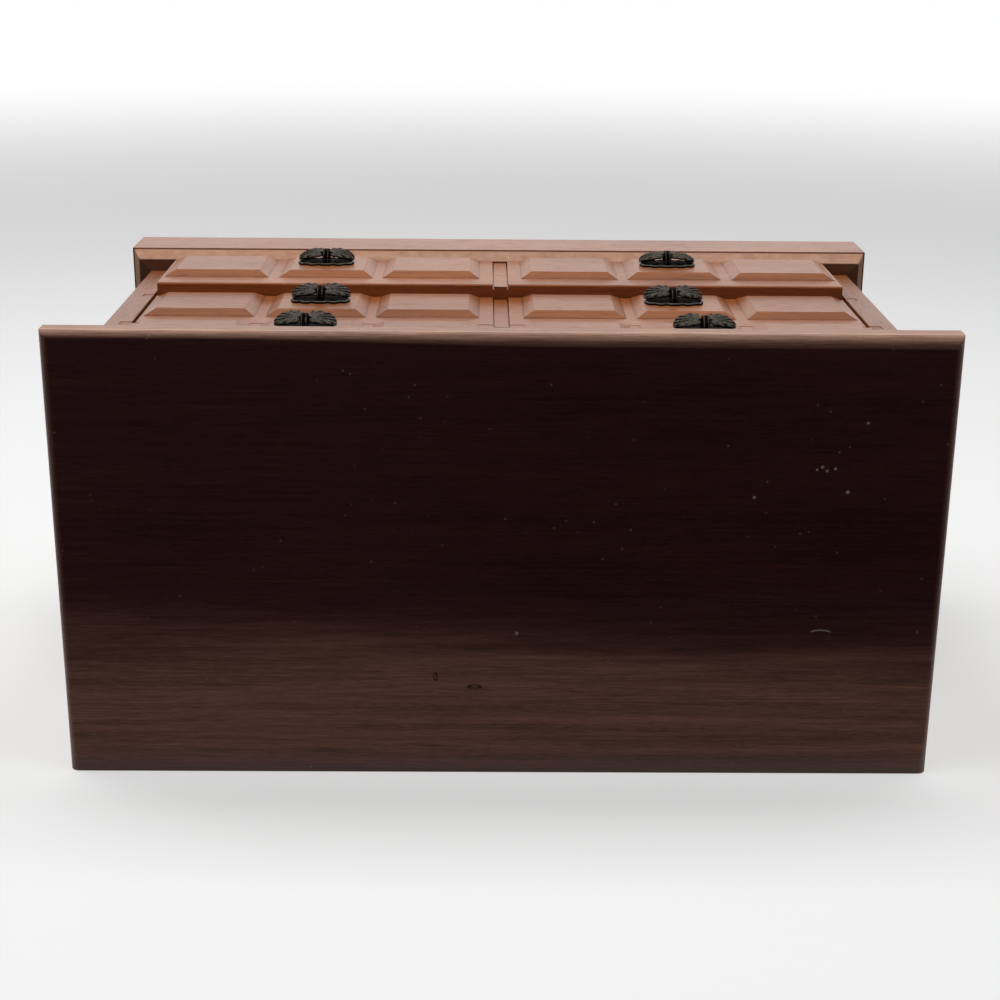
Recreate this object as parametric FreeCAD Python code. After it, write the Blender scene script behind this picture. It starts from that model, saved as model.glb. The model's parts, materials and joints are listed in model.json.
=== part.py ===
import FreeCAD, Part
import math
import os

# Musical jewelry box. Millimetres, X to the right, Y to the back, Z up.
# The origin is the middle of the whole object's footprint, on the surface it stands on.

# Lid
lid_width = 305.0
lid_depth = 160.0
lid_thickness = 9.8
lid_overhang = 10.4           # past the case, at the front and both sides
lid_top_round = 3.2           # front and side edges of the top
lid_under_round = 1.0
lid_gap = 0.3                 # closed lid above the case

# Case
side_board = 9.2
back_board = 9.2
row_height = 46.3
row_count = 3
base_thickness = 6.0
shelf_thickness = 4.0         # dust board and tray floor
dado_depth = 4.0

# Plinth rails, glued round the foot of the case
plinth_height = 30.2
plinth_face_height = 24.0
plinth_stand_out = 8.2
plinth_step = 0.5
plinth_ledge = 4.6

# Moulded fronts
front_thickness = 9.0
front_side_gap = 1.5
row_gap = 0.6
front_arris = 0.9
lower_front_proud = 4.9       # the lowest front closes over the ledge of the plinth
panel_raise = 2.2
panel_bevel = 4.2
panel_top_edge = 31.3         # top of the raised face above the row's lower edge
inner_panel_width = 29.6
middle_panel_width = 28.4
centre_gap = 24.2             # between the two innermost raised faces
inner_gap = 11.8
outer_gap = 12.1
end_margin = 0.9
strip_width = 5.0
strip_recess = 0.85
strip_groove = 0.5
strip_groove_depth = 2.0

# Drawers
drawer_side = 6.0
drawer_back = 6.0
drawer_bottom = 3.0
bottom_groove = 2.5
bottom_lift = 2.5             # bottom board above the drawer's lower edge
run_clearance = 0.3
side_clearance = 0.5
head_clearance = 0.8
lining_thickness = 1.5
lining_below_rim = 3.0

# Pulls
pull_above_row = 17.3
pull_shifts = ((1.25, 1.25), (3.05, -0.35), (-3.35, 1.15))
pull_tilts = ((3.0, 9.0), (14.0, 14.0), (12.0, 14.0))
plate_half_width = 11.0
plate_half_height = 6.6
plate_thickness = 0.8
loop_width = 2.6
loop_band = 0.9
loop_centre_out = 1.4
loop_clearance = 0.35
loop_pad = 0.5
shank_radius = 1.1
shank_clearance = 0.1
prong_length = 6.0
prong_width = 2.2
prong_thickness = 0.9
bar_radius = 1.0
bar_out = 3.6
bar_past_loop = 0.8
wing_half_width = 11.0
wing_drop = 8.0
wing_thickness = 1.5
wing_arch = 1.4
wing_gap = 0.3

# Hinges
hinge_spacing = 190.0
hinge_length = 28.0
hinge_middle = 9.7
hinge_inset = 3.0
knuckle_radius = 1.9
knuckle_gap = 0.3
pin_radius = 0.8
pin_clearance = 0.05
leaf_width = 5.9
leaf_thickness = 0.9
hinge_screw_spacing = 19.0
hinge_screw_out = 4.0
hinge_screw_head = 1.4
hinge_screw_shank = 0.7
hinge_screw_length = 6.0
open_angle = 96.0
stop_slack = 2.0              # each chamfer beyond half the opening

# Lid compartment
pad_thickness = 2.0
wall_lining = 1.6
wall_lining_below_top = 4.3
divider_thickness = 5.0
divider_height = 28.0
divider_from_right = 92.0
roll_count = 8
roll_height = 16.0
roll_gap = 0.6
roll_end_round = 2.2
mirror_width = 190.0
mirror_depth = 96.0
mirror_thickness = 2.0
mirror_lap = 2.0
lid_pad_thickness = 3.4
lid_pad_margin = 6.0
lid_pad_round = 1.4

# Music chamber and movement
chamber_depth = 46.0
chamber_wall = 3.0
movement_x = -60.0
movement_from_back = 23.5
bed_left = 27.0
bed_right = 33.0
bed_half_depth = 17.0
bed_thickness = 3.5
spring_axis_left = 15.0
cylinder_back = 3.0
cylinder_height = 20.5        # cylinder axis above the base board
cylinder_radius = 6.5
cylinder_length = 20.5
cylinder_shaft = 1.0
pin_length = 0.7
music_pin_radius = 0.22
music_pin_root = 0.3
pins_per_track = 4
pin_turn = 86.0               # degrees from pin to pin on one track
track_turn = 97.0             # degrees from track to track
comb_shift = 0.6              # first tooth right of the movement's middle
comb_teeth = 18
comb_pitch = 1.1
comb_slot = 0.3
comb_air = 0.35
comb_base_depth = 7.5
comb_tooth_length = 4.3
comb_thickness = 1.4
comb_tooth_thickness = 0.5
comb_screw_head = 1.7
comb_screw_head_height = 1.2
comb_screw_shank = 0.9
comb_screw_length = 5.0
comb_screw_shares = (0.2, 0.8)   # along the comb
cylinder_lead = 0.3           # cylinder past the first tooth
wheel_lead = 0.2              # great wheel past the cylinder
post_thickness = 1.4
post_from_crown = 0.9
post_from_wheel = 1.0
post_half_width = 3.6
post_above_axis = 2.8
shaft_play = 0.05
crown_teeth = 48
pinion_teeth = 24
great_wheel_teeth = 48
governor_pinion_teeth = 12
worm_wheel_teeth = 24
crown_pitch = 1.152
gear_module = 0.3
tooth_gap = 0.15
tooth_height = 0.7
crown_tooth_width = 0.56
crown_tooth_inset = 0.1
drive_wheel_thickness = 1.6
pinion_width = 2.6
great_wheel_width = 1.3
housing_radius = 10.6
housing_wall = 0.8
housing_gap = 0.5
coil_gap = 0.4
coil_inner_gap = 0.6
arbor_radius = 2.0
key_hole_clearance = 2.0
key_hub_radius = 3.4
key_hub_length = 9.0
key_wing_width = 18.0
key_wing_height = 9.0
key_wing_thickness = 1.8
key_wing_bore = 2.4
key_air = 1.2
key_web = 2.0                 # hub left solid under the arbor
mount_screw_head = 3.0
mount_screw_head_height = 1.6
mount_screw_shank = 1.4
mount_screw_bite = 2.6
mount_screw_inset = 4.0
rear_screw_inset = 3.5
rear_screw_x = 8.0
worm_radius = 1.4
worm_length = 8.0
worm_turn = 1.0
worm_groove = 0.35
worm_from_frame = 3.2
worm_wheel_width = 1.2
fly_shaft = 0.7
fly_collar_radius = 3.2
fly_collar = 1.0
fly_collar_above = 5.5
fly_wing_reach = 4.2
fly_wing_height = 5.0
fly_wing_thickness = 0.6
fly_wing_above = 11.8
frame_plate = 1.4
frame_half_height = 3.0
frame_foot = 4.0
arm_half_depth = 2.0
fly_low_end = 3.0             # shaft below the worm
fly_high_end = 1.0            # shaft above the wings
stop_rod_radius = 1.0
stop_rod_play = 0.3
stop_finger = 1.2
stop_finger_width = 1.6
stop_finger_air = 1.6         # finger tip to the middle of the fly

# Places worked out from the sizes above
case_width = lid_width - 2 * lid_overhang
case_depth = lid_depth - lid_overhang
case_top = plinth_height + row_count * row_height
lid_bottom = case_top + lid_gap
inner_half = case_width / 2 - side_board
loop_inner = bar_out - loop_centre_out + bar_radius + loop_clearance
loop_outer = loop_inner + loop_band
front_reach = lower_front_proud + panel_raise + loop_centre_out + loop_outer
back = (case_depth + front_reach) / 2
front = back - case_depth
back_inside = back - back_board
front_inside = front + front_thickness
shelf_front = front_inside + run_clearance
hinge_y = back - hinge_inset
hinge_z = case_top + lid_gap / 2
tray_bottom = plinth_height + 2 * row_height + shelf_thickness / 2
chamber_front = back_inside - chamber_depth
middle_panel_x = centre_gap / 2 + inner_panel_width + inner_gap + middle_panel_width / 2
shaft_y = back_inside - movement_from_back + cylinder_back
shaft_z = plinth_height + cylinder_height
spring_x = movement_x - spring_axis_left
pinion_radius = crown_pitch * pinion_teeth / (2 * math.pi) + tooth_height / 2
great_radius = gear_module * (great_wheel_teeth / 2 + 1)
governor_pinion_radius = gear_module * (governor_pinion_teeth / 2 + 1)
worm_wheel_radius = gear_module * (worm_wheel_teeth / 2 + 1)
governor_y = shaft_y + great_radius + governor_pinion_radius + tooth_gap
fly_x = movement_x + bed_right - frame_plate - worm_radius - worm_from_frame
fly_y = governor_y - worm_wheel_radius - worm_radius - tooth_gap
comb_left = movement_x + comb_shift
cylinder_left = comb_left - cylinder_lead
great_wheel_left = cylinder_left + cylinder_length + wheel_lead
crown_radius = crown_pitch * crown_teeth / (2 * math.pi) + pinion_width / 2
post_left = spring_x + crown_radius + post_from_crown
post_right = great_wheel_left + great_wheel_width + post_from_wheel
comb_tip = shaft_y - cylinder_radius - pin_length - comb_air
comb_root = comb_tip - comb_tooth_length
drive_wheel_top = shaft_z - pinion_radius - tooth_gap
key_top = plinth_height - base_thickness - key_air


def vec(x, y, z):
    return FreeCAD.Vector(x, y, z)


def box(x0, x1, y0, y1, z0, z1):
    return Part.makeBox(x1 - x0, y1 - y0, z1 - z0, vec(x0, y0, z0))


def rod_x(x0, x1, y, z, radius):
    return Part.makeCylinder(radius, x1 - x0, vec(x0, y, z), vec(1, 0, 0))


def rod_y(y0, y1, x, z, radius):
    return Part.makeCylinder(radius, y1 - y0, vec(x, y0, z), vec(0, 1, 0))


def rod_z(z0, z1, x, y, radius):
    return Part.makeCylinder(radius, z1 - z0, vec(x, y, z0), vec(0, 0, 1))


def prism_x(x0, x1, outline):
    points = [vec(x0, y, z) for y, z in outline]
    face = Part.Face(Part.makePolygon(points + points[:1]))
    return face.extrude(vec(x1 - x0, 0, 0))


def curved_face(points):
    # points alternate: corner, the middle of an arc, corner, and so on, in the XZ plane
    spots = [vec(x, 0, z) for x, z in points]
    edges = []
    for i in range(0, len(spots) - 2, 2):
        edges.append(Part.Arc(spots[i], spots[i + 1], spots[i + 2]).toShape())
    if spots[-1].distanceToPoint(spots[0]) > 0.001:
        edges.append(Part.LineSegment(spots[-1], spots[0]).toShape())
    return Part.Face(Part.Wire(edges))


def mirror_x(shape):
    return shape.mirror(vec(0, 0, 0), vec(1, 0, 0))


def edges_at(shape, test):
    found = []
    for edge in shape.Edges:
        if all(test(vertex.Point) for vertex in edge.Vertexes):
            found.append(edge)
    return found


def near(a, b):
    return abs(a - b) < 0.001


def row_bottom(row):
    return plinth_height + row * row_height


# Case

def rear_chamfer(sign):
    # wedge that the closed joint opens by, below (-1) or above (+1) the hinge line
    slope = math.tan(math.radians(open_angle / 2 + stop_slack))
    out = hinge_inset + 1
    half = lid_width / 2 + 1
    outline = [(hinge_y, hinge_z), (hinge_y + out, hinge_z), (hinge_y + out, hinge_z + sign * out * slope)]
    return prism_x(-half, half, outline)


def hinge_centres():
    return (-hinge_spacing / 2, hinge_spacing / 2)


def hinge_mortise(sign):
    # room for the leaf and its barrel, in the case (-1) or in the lid (+1)
    cuts = []
    surface = hinge_z + sign * lid_gap / 2
    depth = sign * leaf_thickness
    low, high = sorted((surface, surface + depth))
    for x in hinge_centres():
        x0 = x - hinge_length / 2
        x1 = x + hinge_length / 2
        cuts.append(box(x0, x1, hinge_y - leaf_width, hinge_y, low, high))
        cuts.append(rod_x(x0 - knuckle_gap, x1 + knuckle_gap, hinge_y, hinge_z, knuckle_radius + knuckle_gap))
    return cuts


def case_sides():
    boards = {}
    for name, sign in (("case_side_left", -1), ("case_side_right", 1)):
        x0, x1 = sorted((sign * inner_half, sign * case_width / 2))
        board = box(x0, x1, front, back, 0, case_top)
        dado_x0, dado_x1 = sorted((sign * inner_half, sign * (inner_half + dado_depth)))
        for low, high in shelf_levels():
            board = board.cut(box(dado_x0, dado_x1, front, back_inside, low, high))
        boards[name] = board.cut(rear_chamfer(-1))
    return boards


def shelf_levels():
    levels = [(plinth_height - base_thickness, plinth_height)]
    for row in range(1, row_count):
        middle = row_bottom(row)
        levels.append((middle - shelf_thickness / 2, middle + shelf_thickness / 2))
    return levels


def case_back():
    board = box(-inner_half, inner_half, back_inside, back, 0, case_top)
    board = board.cut(rear_chamfer(-1))
    for cut in hinge_mortise(-1) + hinge_screws(-1):
        board = board.cut(cut)
    groove = stop_rod_radius + stop_rod_play
    return board.cut(box(fly_x - groove, fly_x + groove, back_inside, back_inside + 2 * groove,
                         shaft_z, case_top))


def shelves():
    reach = inner_half + dado_depth
    (base_low, base_high), (dust_low, dust_high), (tray_low, tray_high) = shelf_levels()
    base = box(-reach, reach, front, back_inside, base_low, base_high)
    base = base.cut(rod_z(base_low, base_high, spring_x, shaft_y, arbor_radius + key_hole_clearance))
    for x, y in mount_screw_places():
        base = base.cut(rod_z(base_low, base_high, x, y, mount_screw_shank))
    return {
        "base_board": base,
        "dust_board": box(-reach, reach, shelf_front, back_inside, dust_low, dust_high),
        "tray_floor": box(-reach, reach, shelf_front, back_inside, tray_low, tray_high),
    }


def plinth_profile():
    # (out from the case, up) round the section of a rail
    return [
        (0, 0),
        (plinth_stand_out, 0),
        (plinth_stand_out, plinth_face_height),
        (plinth_stand_out - plinth_step, plinth_face_height),
        (plinth_ledge, plinth_height),
        (0, plinth_height),
    ]


def corner_wedge(corners):
    return Part.Face(Part.makePolygon(corners + corners[:1])).extrude(vec(0, 0, plinth_height + 2))


def plinth_rails():
    outer = case_width / 2 + plinth_stand_out
    long_rail = prism_x(-outer, outer, [(front - out, up) for out, up in plinth_profile()])
    mitre_x = outer + 1
    mitre_y = front - plinth_stand_out - 1
    rails = {}
    for name, sign in (("plinth_left", -1), ("plinth_right", 1)):
        section = [vec(sign * (case_width / 2 + out), back, up) for out, up in plinth_profile()]
        face = Part.Face(Part.makePolygon(section + section[:1]))
        rail = face.extrude(vec(0, front - plinth_stand_out - back, 0))
        mitre = [vec(sign * case_width / 2, front, -1), vec(sign * mitre_x, mitre_y, -1)]
        rails[name] = rail.cut(corner_wedge(mitre + [vec(sign * case_width / 2, mitre_y, -1)]))
        long_rail = long_rail.cut(corner_wedge(mitre + [vec(sign * mitre_x, front, -1)]))
    rails["plinth_front"] = long_rail
    return rails


# Moulded fronts

def panel_spans():
    # left and right edge of each raised face on the right half, from the centre out
    start = centre_gap / 2
    spans = [(start, start + inner_panel_width)]
    start = spans[-1][1] + inner_gap
    spans.append((start, start + middle_panel_width))
    start = spans[-1][1] + outer_gap
    spans.append((start, inner_half - front_side_gap - end_margin - panel_bevel))
    return spans


def raised_panel(x0, x1, face, low):
    top = row_foot(low) + panel_top_edge
    return Part.makeWedge(x0, face - panel_raise, low + panel_bevel, low, x0 - panel_bevel,
                          x1, face, top, top + panel_bevel, x1 + panel_bevel)


def row_foot(low):
    return low - row_gap / 2


def moulded_front(face, row, half):
    low = row_bottom(row) + row_gap / 2
    high = row_bottom(row + 1) - row_gap / 2
    board = box(-half, half, face, face + front_thickness, low, high)
    arris = edges_at(board, lambda p: near(p.y, face) and near(p.z, high))
    board = board.makeFillet(front_arris, arris)
    for x0, x1 in panel_spans():
        board = board.fuse(raised_panel(x0, x1, face, low))
        board = board.fuse(raised_panel(-x1, -x0, face, low))
    strip = strip_width / 2
    board = board.cut(box(-strip, strip, face - 1, face + strip_recess, low, high))
    for side in (-strip - strip_groove, strip):
        board = board.cut(box(side, side + strip_groove, face - 1, face + strip_groove_depth, low, high))
    inside = face + front_thickness
    for x in pull_places(row):
        z = row_bottom(row) + pull_above_row
        board = board.cut(rod_y(face - panel_raise, inside, x, z, shank_radius + shank_clearance))
        reach = prong_length + shank_clearance
        board = board.cut(box(x - prong_width / 2 - shank_clearance, x + prong_width / 2 + shank_clearance,
                              inside - prong_thickness, inside, z - reach, z + reach))
    return board.removeSplitter()


def front_face(row):
    return front - lower_front_proud if row == 0 else front


# Pulls

def pull_places(row):
    left, right = pull_shifts[row]
    return (left - middle_panel_x, right + middle_panel_x)


def plate_outline():
    w = plate_half_width
    h = plate_half_height
    right = [
        (0.0, 0.94 * h), (0.15 * w, 0.91 * h),
        (0.27 * w, 0.74 * h), (0.47 * w, 0.96 * h),
        (0.67 * w, 0.70 * h), (0.87 * w, 0.72 * h),
        (0.96 * w, 0.40 * h), (1.00 * w, 0.14 * h),
        (0.93 * w, -0.14 * h), (0.88 * w, -0.48 * h),
        (0.65 * w, -0.55 * h), (0.54 * w, -0.82 * h),
        (0.33 * w, -0.73 * h), (0.21 * w, -0.96 * h),
        (0.0, -1.00 * h),
    ]
    left = [(-x, z) for x, z in reversed(right[:-1])]
    return right + left


def pull_plate():
    plate = curved_face(plate_outline()).extrude(vec(0, -plate_thickness, 0))
    return plate.cut(rod_y(-plate_thickness, 0, 0, 0, shank_radius + shank_clearance))


def pull_loop():
    half = loop_width / 2
    ring = rod_x(-half, half, -loop_centre_out, 0, loop_outer)
    ring = ring.cut(rod_x(-half, half, -loop_centre_out, 0, loop_inner))
    pad_out = plate_thickness + loop_pad
    ring = ring.cut(box(-half, half, -plate_thickness, loop_outer, -loop_outer, loop_outer))
    pad_half = loop_outer - loop_band / 2
    pad = box(-half, half, -pad_out, -plate_thickness, -pad_half, pad_half)
    inside = front_thickness + panel_raise
    shank = rod_y(-pad_out, inside, 0, 0, shank_radius)
    prong_half = prong_width / 2
    prong = box(-prong_half, prong_half, inside - prong_thickness, inside, -prong_length, prong_length)
    return ring.fuse([pad, shank, prong]).removeSplitter()


def wing_outline():
    w = wing_half_width
    d = wing_drop
    inner = loop_width / 2 + wing_gap
    return [
        (inner, 0.15 * d), (0.24 * w, 0.28 * d),
        (0.38 * w, 0.21 * d), (0.58 * w, 0.25 * d),
        (0.76 * w, 0.08 * d), (0.93 * w, 0.07 * d),
        (1.00 * w, -0.12 * d), (0.98 * w, -0.32 * d),
        (0.85 * w, -0.45 * d), (0.78 * w, -0.65 * d),
        (0.62 * w, -0.65 * d), (0.51 * w, -0.90 * d),
        (0.35 * w, -0.82 * d), (0.25 * w, -1.00 * d),
        (inner, -0.90 * d),
    ]


def pull_handle(tilt):
    # bar axis along X at (0, -bar_out, 0), wings arched back towards the plate
    arch_radius = (wing_half_width ** 2 + wing_arch ** 2) / (2 * wing_arch)
    arch_y = arch_radius - bar_out
    height = 4 * wing_drop
    shell = rod_z(-height / 2, height / 2, 0, arch_y, arch_radius + wing_thickness / 2)
    shell = shell.cut(rod_z(-height / 2, height / 2, 0, arch_y, arch_radius - wing_thickness / 2))
    wing = curved_face(wing_outline()).extrude(vec(0, -2 * bar_out, 0)).common(shell)
    reach = loop_width / 2 + bar_past_loop
    bar = rod_x(-reach, reach, -bar_out, 0, bar_radius)
    handle = bar.fuse([wing, mirror_x(wing)]).removeSplitter()
    handle.rotate(vec(0, -bar_out, 0), vec(-1, 0, 0), tilt)
    return handle


def pull_spots(row):
    z = row_bottom(row) + pull_above_row
    return [vec(x, front_face(row) - panel_raise, z) for x in pull_places(row)]


def moved(shape, place):
    copy = shape.copy()
    copy.translate(place)
    return copy


def pulls():
    nodes = {}
    for row, name in enumerate(("lower", "middle", "top")):
        spots = pull_spots(row)
        nodes[name + "_pull_plates"] = Part.makeCompound([moved(pull_plate(), spot) for spot in spots])
        nodes[name + "_pull_loops"] = Part.makeCompound([moved(pull_loop(), spot) for spot in spots])
        for side, spot, tilt in zip(("left", "right"), spots, pull_tilts[row]):
            nodes[name + "_pull_" + side] = moved(pull_handle(tilt), spot)
    return nodes


# Drawers

def drawer(name, row, rear):
    face = front_face(row)
    inside = face + front_thickness
    low = shelf_levels()[row][1] + run_clearance
    high = shelf_levels()[row + 1][0] - head_clearance
    outer = inner_half - side_clearance
    inner = outer - drawer_side
    bottom_low = low + bottom_lift
    bottom_high = bottom_low + drawer_bottom
    reach = inner + bottom_groove
    bottom = box(-reach, reach, inside - bottom_groove, rear, bottom_low, bottom_high)
    rear_inside = rear - drawer_back
    nodes = {name + "_drawer_front": moulded_front(face, row, inner_half - front_side_gap).cut(bottom)}
    for side, sign in (("left", -1), ("right", 1)):
        x0, x1 = sorted((sign * inner, sign * outer))
        nodes[name + "_drawer_side_" + side] = box(x0, x1, inside, rear, low, high).cut(bottom)
    nodes[name + "_drawer_back"] = box(-inner, inner, rear_inside, rear, bottom_high, high)
    nodes[name + "_drawer_bottom"] = bottom
    lining = box(-inner, inner, inside, rear_inside, bottom_high, high - lining_below_rim)
    hollow = box(-inner + lining_thickness, inner - lining_thickness, inside + lining_thickness,
                 rear_inside - lining_thickness, bottom_high + lining_thickness, high)
    nodes[name + "_drawer_lining"] = lining.cut(hollow)
    return nodes


# Hinges

def hinge_screws(sign):
    # countersunk screws down into the case (-1) or up into the lid (+1)
    screws = []
    surface = hinge_z + sign * lid_gap / 2
    down = vec(0, 0, sign)
    for centre in hinge_centres():
        for side in (-1, 1):
            spot = vec(centre + side * hinge_screw_spacing / 2, hinge_y - hinge_screw_out, surface)
            head = Part.makeCone(hinge_screw_head, hinge_screw_shank, leaf_thickness, spot, down)
            shank = Part.makeCylinder(hinge_screw_shank, hinge_screw_length, spot, down)
            screws.append(head.fuse(shank).removeSplitter())
    return screws


def hinge_leaf(centre, sign):
    surface = hinge_z + sign * lid_gap / 2
    low, high = sorted((surface, surface + sign * leaf_thickness))
    x0 = centre - hinge_length / 2
    x1 = centre + hinge_length / 2
    middle = hinge_middle / 2
    room = knuckle_radius + knuckle_gap
    leaf = box(x0, x1, hinge_y - leaf_width, hinge_y, low, high)
    if sign > 0:
        knuckles = [(centre - middle, centre + middle)]
        clear = [(x0, centre - middle), (centre + middle, x1)]
    else:
        knuckles = [(x0, centre - middle - knuckle_gap), (centre + middle + knuckle_gap, x1)]
        clear = [(centre - middle - knuckle_gap, centre + middle + knuckle_gap)]
    for a, b in clear:
        leaf = leaf.cut(rod_x(a, b, hinge_y, hinge_z, room))
    for a, b in knuckles:
        leaf = leaf.fuse(rod_x(a, b, hinge_y, hinge_z, knuckle_radius))
    bore = pin_radius + (pin_clearance if sign > 0 else 0)
    leaf = leaf.cut(rod_x(x0, x1, hinge_y, hinge_z, bore))
    return leaf.removeSplitter()


def hinges():
    case_leaves = [hinge_leaf(x, -1) for x in hinge_centres()]
    lid_leaves = [hinge_leaf(x, 1) for x in hinge_centres()]
    case_screws = hinge_screws(-1)
    lid_screws = hinge_screws(1)
    pins = []
    for x in hinge_centres():
        pins.append(rod_x(x - hinge_length / 2, x + hinge_length / 2, hinge_y, hinge_z, pin_radius))
    for screw in case_screws:
        case_leaves = [leaf.cut(screw) for leaf in case_leaves]
    for screw in lid_screws:
        lid_leaves = [leaf.cut(screw) for leaf in lid_leaves]
    return {
        "hinge_case_leaves": Part.makeCompound(case_leaves),
        "hinge_lid_leaves": Part.makeCompound(lid_leaves),
        "hinge_pins": Part.makeCompound(pins),
        "hinge_case_screws": Part.makeCompound(case_screws),
        "hinge_lid_screws": Part.makeCompound(lid_screws),
    }


# Lid

def lid_board():
    half = lid_width / 2
    lid_front = back - lid_depth
    lid_top = lid_bottom + lid_thickness
    board = box(-half, half, lid_front, back, lid_bottom, lid_top)

    def rim(p):
        return near(p.y, lid_front) or near(abs(p.x), half)

    top_edges = edges_at(board, lambda p: near(p.z, lid_top) and rim(p))
    top_edges = [edge for edge in top_edges if not near(edge.CenterOfMass.y, back)]
    board = board.makeFillet(lid_top_round, top_edges)
    under_edges = edges_at(board, lambda p: near(p.z, lid_bottom) and rim(p))
    under_edges = [edge for edge in under_edges if not near(edge.CenterOfMass.y, back)]
    board = board.makeFillet(lid_under_round, under_edges)
    board = board.cut(rear_chamfer(1))
    for cut in hinge_mortise(1) + hinge_screws(1):
        board = board.cut(cut)
    return board


def lid_inside():
    middle_y = (front_inside + back_inside) / 2
    half_x = mirror_width / 2
    half_y = mirror_depth / 2
    mirror_low = lid_bottom - mirror_thickness
    mirror = box(-half_x, half_x, middle_y - half_y, middle_y + half_y, mirror_low, lid_bottom)
    pad_x = inner_half - wall_lining - lid_pad_margin
    pad_y0 = front_inside + wall_lining + lid_pad_margin
    pad_y1 = back_inside - wall_lining - lid_pad_margin
    pad_low = lid_bottom - lid_pad_thickness
    pad = box(-pad_x, pad_x, pad_y0, pad_y1, pad_low, lid_bottom)
    pad = pad.makeFillet(lid_pad_round, edges_at(pad, lambda p: near(p.z, pad_low)))
    pad = pad.cut(mirror)
    pad = pad.cut(box(-half_x + mirror_lap, half_x - mirror_lap, middle_y - half_y + mirror_lap,
                      middle_y + half_y - mirror_lap, pad_low, mirror_low))
    return {"mirror": mirror, "lid_lining": pad}


# Lid compartment

def compartment():
    pad_high = tray_bottom + pad_thickness
    lining_high = case_top - wall_lining_below_top
    floor_pad = box(-inner_half, inner_half, front_inside, back_inside, tray_bottom, pad_high)
    walls = [
        box(-inner_half, -inner_half + wall_lining, front_inside, back_inside, pad_high, lining_high),
        box(inner_half - wall_lining, inner_half, front_inside, back_inside, pad_high, lining_high),
    ]
    side = inner_half - wall_lining
    walls.append(box(-side, side, front_inside, front_inside + wall_lining, pad_high, lining_high))
    walls.append(box(-side, side, back_inside - wall_lining, back_inside, pad_high, lining_high))
    divider_x = side - divider_from_right
    room_front = front_inside + wall_lining
    room_back = back_inside - wall_lining
    divider = box(divider_x - divider_thickness, divider_x, room_front, room_back,
                  pad_high, pad_high + divider_height)
    return {
        "tray_floor_pad": floor_pad,
        "tray_wall_linings": Part.makeCompound(walls),
        "tray_divider": divider,
        "ring_rolls": ring_rolls(divider_x, side, room_front, room_back, pad_high),
    }


def ring_rolls(x0, x1, y0, y1, low):
    pitch = (y1 - y0) / roll_count
    radius = (pitch - roll_gap) / 2
    shoulder = low + roll_height - radius
    rolls = []
    for i in range(roll_count):
        y = y0 + (i + 0.5) * pitch
        left = vec(x0, y - radius, shoulder)
        right = vec(x0, y + radius, shoulder)
        foot_left = vec(x0, y - radius, low)
        foot_right = vec(x0, y + radius, low)
        edges = [
            Part.LineSegment(right, foot_right).toShape(),
            Part.LineSegment(foot_right, foot_left).toShape(),
            Part.LineSegment(foot_left, left).toShape(),
            Part.Arc(left, vec(x0, y, shoulder + radius), right).toShape(),
        ]
        roll = Part.Face(Part.Wire(edges)).extrude(vec(x1 - x0, 0, 0))
        crowns = [edge for edge in roll.Edges if "Circle" in edge.Curve.TypeId]
        rolls.append(roll.makeFillet(roll_end_round, crowns))
    return Part.makeCompound(rolls)


# Music movement

def mount_screw_places():
    y0 = back_inside - movement_from_back
    return (
        (movement_x - bed_left + mount_screw_inset, y0 - bed_half_depth + mount_screw_inset),
        (movement_x + bed_right - mount_screw_inset, y0 - bed_half_depth + mount_screw_inset),
        (movement_x + rear_screw_x, y0 + bed_half_depth - rear_screw_inset),
    )


def mount_screws():
    screws = []
    under = plinth_height - base_thickness
    for x, y in mount_screw_places():
        head = rod_z(under - mount_screw_head_height, under, x, y, mount_screw_head)
        shank = rod_z(under, plinth_height + mount_screw_bite, x, y, mount_screw_shank)
        screws.append(head.fuse(shank).removeSplitter())
    return screws


def comb_screws():
    screws = []
    y = comb_root - comb_base_depth / 2
    for share in comb_screw_shares:
        x = comb_left + comb_teeth * comb_pitch * share
        head = rod_z(shaft_z, shaft_z + comb_screw_head_height, x, y, comb_screw_head)
        shank = rod_z(shaft_z - comb_screw_length, shaft_z, x, y, comb_screw_shank)
        screws.append(head.fuse(shank).removeSplitter())
    return screws


def bedplate():
    y0 = back_inside - movement_from_back
    low = plinth_height
    high = low + bed_thickness
    plate = box(movement_x - bed_left, movement_x + bed_right, y0 - bed_half_depth, y0 + bed_half_depth,
                low, high)
    solids = []
    for x in (post_left, post_right):
        solids.append(box(x, x + post_thickness, shaft_y - post_half_width, shaft_y + post_half_width,
                          high, shaft_z + post_above_axis))
    solids.append(box(comb_left, comb_left + comb_teeth * comb_pitch, comb_root - comb_base_depth, comb_root,
                      high, shaft_z - comb_thickness))
    plate = plate.fuse(solids)
    bore = cylinder_shaft + shaft_play
    plate = plate.cut(rod_x(post_left, post_right + post_thickness, shaft_y, shaft_z, bore))
    plate = plate.cut(rod_z(low, high, spring_x, shaft_y, arbor_radius + shaft_play))
    for screw in mount_screws() + comb_screws():
        plate = plate.cut(screw)
    return plate.removeSplitter()


def comb():
    plate = box(comb_left, comb_left + comb_teeth * comb_pitch, comb_root - comb_base_depth, comb_root,
                shaft_z - comb_thickness, shaft_z)
    teeth = []
    for i in range(comb_teeth):
        x = comb_left + i * comb_pitch + comb_slot / 2
        teeth.append(box(x, x + comb_pitch - comb_slot, comb_root, comb_tip,
                         shaft_z - comb_tooth_thickness, shaft_z))
    plate = plate.fuse(teeth)
    for screw in comb_screws():
        plate = plate.cut(screw)
    return plate.removeSplitter()


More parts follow.
